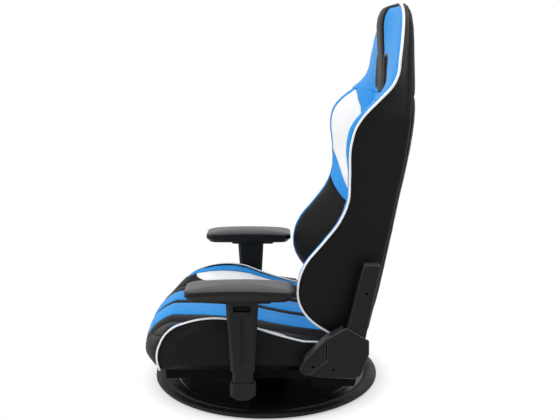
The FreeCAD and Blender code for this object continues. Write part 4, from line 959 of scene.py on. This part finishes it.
def side_panel_points():
    """The seat's outer side: rings from the crest to the side's outline, and on to its middle."""
    outer, inner = seat_loop(CREST), seat_loop(SIDE)
    middle = inner.mean(axis=0)
    rings = [(CREST_X + (SEAT_SIDE_X - CREST_X) * q ** (1 / SIDE_ROUND), outer * (1 - q) + inner * q)
             for q in spread(14)]
    rings += [(SEAT_SIDE_X, inner * (1 - q) + middle * q)
              for q in [*np.linspace(0, 0.97, 12)[1:], 1.0]]
    return np.array([stack(x, loop[:, 0], loop[:, 1]) for x, loop in rings])


def make_seat():
    """Stripes, front band, bolsters and side panels over one foam core, with piped crests."""
    xs = np.concatenate([np.linspace(-0.2430, -0.2405, 3), np.linspace(-0.238, 0.238, 60),
                         np.linspace(0.2405, 0.2430, 3)])
    foam = core("seat_core", [seat_ring(x) for x in xs], "seat")
    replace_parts(foam, "seat_cushion", "seat_bolster_left", "seat_bolster_right")

    def add(name, *rest, outward=(0, -0.2, 1), **more):
        panel(name, seat_surface, *rest, outward, "seat", **more)

    add("seat_gap_strip", -STRIPE_INNER_X, STRIPE_INNER_X, FRONT_SEAM, REAR_SEAM, black, puff=0.0005)
    add("seat_rear_band", -VALLEY_X, VALLEY_X, REAR_SEAM, ARCS, black, outward=(0, 1, 0.5))
    add("seat_front_band", -VALLEY_X, VALLEY_X, 0.0, FRONT_SEAM, black, outward=AHEAD)
    strip = border(*SEAT_STRIP)

    def lens(t):
        """The lower edge of the white panel, which tapers out at both ends."""
        inside = np.clip((np.asarray(t, float) - LENS_START) / (LENS_END - LENS_START), 0, 1)
        return strip(t) - (strip(t) - LENS_X) * np.sin(math.pi * inside) ** 0.6

    base = side_panel_points()
    around = np.roll(base, -1, axis=1) - np.roll(base, 1, axis=1)
    normal = unit(np.cross(around, np.gradient(base, axis=0)))
    normal[-1] = (1, 0, 0)
    normal = np.where(normal[..., :1] < 0, -normal, normal)
    run = np.repeat(lengths(base[:1], 1), len(base), axis=0)

    t = np.linspace(0, ARCS, 150)
    path = outline(CREST, t)
    path = stack(CREST_X + PIPING_PAST, path[:, 0], path[:, 1])
    sunk = np.interp(t, [2.4, 2.9], [0.0014, -0.0004])[:, None]
    path = path + sunk * np.cross(unit(np.gradient(path, axis=0)), np.array([1.0, 0, 0]))

    for side, word in SIDES:
        def pair(name, *rest, **more):
            add(name + "_" + word, *rest, side=side, **more)

        pair("seat_stripe", STRIPE_INNER_X, STRIPE_OUTER_X, FRONT_SEAM, REAR_SEAM, blue, puff=0.003)
        pair("seat_side_strip", STRIPE_OUTER_X, VALLEY_X, FRONT_SEAM, REAR_SEAM, black)
        pair("bolster_front", VALLEY_X, CREST_X, 0.0, BOLSTER_START, black, outward=AHEAD)
        pair("bolster_inner", VALLEY_X, lens, BOLSTER_START, ARCS, black)
        pair("bolster_lens", lens, strip, LENS_START, LENS_END, white, puff=0.002)
        pair("bolster_strip", strip, CREST_X + STRIP_PAST, BOLSTER_START, ARCS, blue, puff=0.0016,
             depth=0.0012)
        sewn("seat_side_" + word, base, normal, lengths(base, 0), run, "seat", black, side, 0.0004,
             closed=True)
        piping("seat_piping_" + word, mirror_if(path, side), SEAT_PIPING_RADIUS, "seat")


# Armrests, disc and moulded pieces

def rounded_rectangle(half, corner):
    """A closed rounded rectangle about the origin, as (x, y) points."""
    points = []
    for k, signs in enumerate(((1, -1), (1, 1), (-1, 1), (-1, -1))):
        for angle in np.radians(range(90 * k - 90, 90 * k + 1, 10)):
            turn = np.array([np.cos(angle), np.sin(angle)])
            points.append(signs * (half[:2] - corner) + corner * turn)
    return np.concatenate([
        np.linspace(a, b, max(1, int(math.dist(a, b) / 0.006)), endpoint=False)
        for a, b in zip(points, points[1:] + points[:1])
    ])


def make_arm_pad(word):
    """A moulded foam pad: soft sides, a bevelled rim and a crowned top, over its base's well."""
    low, high = box("arm_pad_" + word)
    base_low, base_high = box("pad_base_" + word)
    half, middle = (high - low) / 2, (low + high) / 2
    well_half = (base_high - base_low) / 2 + 0.0005
    edge, well = rounded_rectangle(half, PAD_CORNER), rounded_rectangle(well_half, WELL_CORNER)
    turn, well_turn = (np.arctan2(points[:, 1] / size[1], points[:, 0] / size[0])
                       for points, size in ((edge, half), (well, well_half)))
    order = np.argsort(well_turn)
    matched = np.stack([np.interp(turn, well_turn[order], well[order, k], period=2 * math.pi)
                        for k in range(2)], axis=1)
    depth = base_high[2] - base_low[2] + 0.0006

    def arch(points):
        return 1 - (points[:, 1] / half[1]) ** 2

    rings = [(matched * scale, z) for scale, z in (
        (0.02, depth), (0.5, depth), (0.97, depth), (1.0, depth - 0.001), (1.0, 0.001), (1.01, 0.0))]
    for amount, rim_z, rise in PAD_RIM:
        rim = edge * (1 - amount / half[:2])
        rings.append((rim, rim_z + rise * arch(edge)))
    for share in (0.93, 0.85, 0.72, 0.58, 0.44, 0.3, 0.16, 0.05, 0.01):
        rings.append((rim * share, rim_z + PAD_CROWN * (1 - share ** 2.5) + rise * arch(rim * share)))
    verts = np.concatenate([stack(points[:, 0] + middle[0], points[:, 1] + middle[1], low[2] + z)
                            for points, z in rings])
    faces = grid_faces(len(rings), len(edge), True) + end_faces(len(rings), len(edge))
    pad = closed_piece("pad_cushion_" + word, verts, faces, pad_skin, "pad_" + word)
    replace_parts(pad, "arm_pad_" + word)


def turned(name, section, material, ripple, smooth_shading=True):
    """A closed section of (radius, height) points turned round the swivel axis."""
    verts = []
    for i in range(DISC_STEPS):
        turn = 2 * math.pi * i / DISC_STEPS
        for k, (r, z) in enumerate(section):
            out = ripple(turn, k, r, z)
            verts.append(((r + out) * math.cos(turn), (r + out) * math.sin(turn), z + 0.7 * out))
    return closed_piece(name, verts, grid_faces(DISC_STEPS, len(section), True, True), material, "base",
                        smooth_shading)


def make_disc():
    """The disc's padded rim and its glossy panel."""
    low, high = box("base_cover")
    radius, bottom, top = high[0], low[2], high[2]
    half = (top - 0.0015) / 2

    def gathers(turn, k, r, z):
        """Soft unevenness of the padding, which stays inside the disc's outer edge."""
        if k >= RIM_POINTS:
            return 0.0
        spot = Vector((math.cos(turn), math.sin(turn), z * 12)) * 5.5
        out = 0.0009 * noise.noise(spot) + 0.0002 * math.sin(turn * 61 + 2 * noise.noise(spot * 2))
        return min(out, 0.0) if r > radius - 0.002 else out

    angles = [math.radians(-80 + 245 * k / (RIM_POINTS - 1)) for k in range(RIM_POINTS)]
    rim = [(radius - RIM_ROUND + RIM_ROUND * math.cos(a), top - half + half * math.sin(a))
           for a in angles]
    rim += [(radius - 0.034, PANEL_TOP + 0.001), (radius - 0.038, PANEL_TOP - 0.002),
            (radius - 0.036, bottom + 0.004), (radius - 0.020, bottom + 0.003)]
    turned("disc_rim", rim, rim_skin, gathers)
    plate = [(DISC_WELL, bottom), (DISC_WELL, PANEL_TOP - 0.0008), (DISC_WELL + 0.001, PANEL_TOP),
             (radius - 0.060, PANEL_TOP), (radius - 0.058, PANEL_TOP - 0.0008),
             (radius - 0.056, PANEL_TOP), (radius - 0.034, PANEL_TOP),
             (radius - 0.033, bottom + 0.004), (radius - 0.036, bottom)]
    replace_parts(turned("disc_panel", plate, gloss_plastic, lambda *_: 0.0, False), "base_cover")


def dressed(node, body, width, material=satin_plastic, scoop=0.0, worn=False):
    """A copy of a moulded piece with rounded edges, which stands for the plain one.

    A scoop hollows the piece's outer side behind a lip along its lower edge. Lit bevels take a lighter
    material, a painted highlight."""
    mesh = nodes[node].data.copy()
    mesh.materials.clear()
    mesh.materials.append(material)
    mesh.name = node + "_dressed"
    piece = new_object(node + "_dressed", mesh)
    with edited(piece) as shape:
        for face in shape.faces:
            face.material_index = 0
            face.smooth = True
        bmesh.ops.remove_doubles(shape, verts=shape.verts, dist=0.00001)
        bmesh.ops.dissolve_limit(shape, angle_limit=math.radians(0.6), verts=shape.verts,
                                 edges=shape.edges)
        if scoop:
            face = max(shape.faces, key=lambda f: f.calc_center_median().x * math.copysign(1, scoop))
            low, high = min(v.co.z for v in face.verts), max(v.co.z for v in face.verts)
            bmesh.ops.inset_region(shape, faces=[face], thickness=0.0009)
            for vert in face.verts:
                vert.co.x -= scoop
                if vert.co.z < (low + high) / 2:
                    vert.co.z += 0.16 * (high - low)
    rounding = piece.modifiers.new("edges", "BEVEL")
    set_all(rounding, width=width, segments=3, limit_method="ANGLE", angle_limit=math.radians(32),
            harden_normals=True)
    # The bevel faces take the lighter material: a painted highlight along the edges
    if worn:
        mesh.materials.append(edge_highlight_paint)
        rounding.material = 1
    piece.modifiers.new("weigh", "WEIGHTED_NORMAL").keep_sharp = True
    apply_modifiers(piece)
    belongs(piece, body)
    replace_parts(piece, node)


def finish_nodes():
    """Gives every solid that stays a finish of its own kind."""
    finishes = {
        "felt": felt_cloth, "leather_black": black, "leather_blue": blue, "leather_white": white,
        "arm_pad_skin": pad_skin, "steel_black": black_paint, "bright_steel": plated_steel,
        "plastic_black": satin_plastic, "button_gloss": gloss_plastic, "webbing": webbing_cloth,
        "plywood": plywood_board,
    }
    for name, node in nodes.items():
        for place in node.material_slots:
            word = place.material.name.split(".")[0] if place.material else ""
            if name in ("cover_screws", "hinge_arm_screws"):
                place.material = black_zinc
            elif word in finishes:
                place.material = finishes[word]
            else:
                print("no finish for", node.name, word)


def stage():
    """Camera, pale floor, soft lamps and a white surround."""
    scene = bpy.context.scene
    data = bpy.data.cameras.new("camera")
    set_all(data, lens=CAMERA_LENS, sensor_width=36.0)
    scene.camera = new_object("camera", data)
    set_all(scene.camera, location=CAMERA_PLACE,
            rotation_euler=(math.radians(90 - CAMERA_PITCH), 0, math.pi / 2))

    paint = new_material("floor_paint")
    paint.nodes.remove(paint.nodes["Principled BSDF"])
    far = paint.add("VectorMath", {0: paint.place}, "Value", operation="LENGTH")
    share = paint.maths("MULTIPLY", paint.ramp(far, *FLOOR_FADE), paint.seen())
    matt = paint.add("BsdfDiffuse", {"Color": shade(0.9)})
    plain = paint.add("Emission", {"Color": shade(1.0), "Strength": 1.0})
    put(paint.nodes["Material Output"].inputs["Surface"],
        paint.add("MixShader", {0: share, 1: matt, 2: plain}))
    corners = [(x * FLOOR_REACH, y * FLOOR_REACH, 0) for x, y in ((-1, -1), (1, -1), (1, 1), (-1, 1))]
    floor = make_object("floor", corners, [(0, 1, 2, 3)], paint.owner, False)

    world = Paint(bpy.data.worlds.new("surround"))
    scene.world = world.owner
    background = world.nodes["Background"].inputs
    put(background["Color"], shade(1.0))
    put(background["Strength"], world.ramp(world.seen(), 0.0, 1.0, WORLD_LIGHT, 1.0))

    for name, place, aim, size, power in LAMPS:
        data = bpy.data.lights.new(name, "AREA")
        set_all(data, energy=power, size=size)
        turn = (Vector(aim) - Vector(place)).to_track_quat("-Z", "Y").to_euler()
        set_all(new_object(name, data), location=place, rotation_euler=turn)
    scene.view_settings.view_transform = "Standard"


finish_nodes()
make_back()
make_seat()
for arm_side, arm_word in SIDES:
    make_arm_pad(arm_word)
    dressed("arm_sleeve_" + arm_word, "arm_" + arm_word, 0.0014)
    dressed("arm_button_" + arm_word, "button_" + arm_word, 0.0005, button_plastic, 0.0035 * arm_side)
    dressed("pad_carrier_" + arm_word, "carrier_" + arm_word, 0.001)
    dressed("pad_base_" + arm_word, "pad_" + arm_word, 0.001)
    for piece_name in ("arm_base_", "arm_post_"):
        dressed(piece_name + arm_word, "seat", 0.0014)
    for piece_name in ("hinge_cover_", "hinge_cover_front_"):
        dressed(piece_name + arm_word, "seat", 0.0032, worn=True)
    dressed("hinge_arm_cover_" + arm_word, "back", 0.0028, worn=True)
dressed("lever_grip", "lever", 0.0014)
make_disc()
stage()
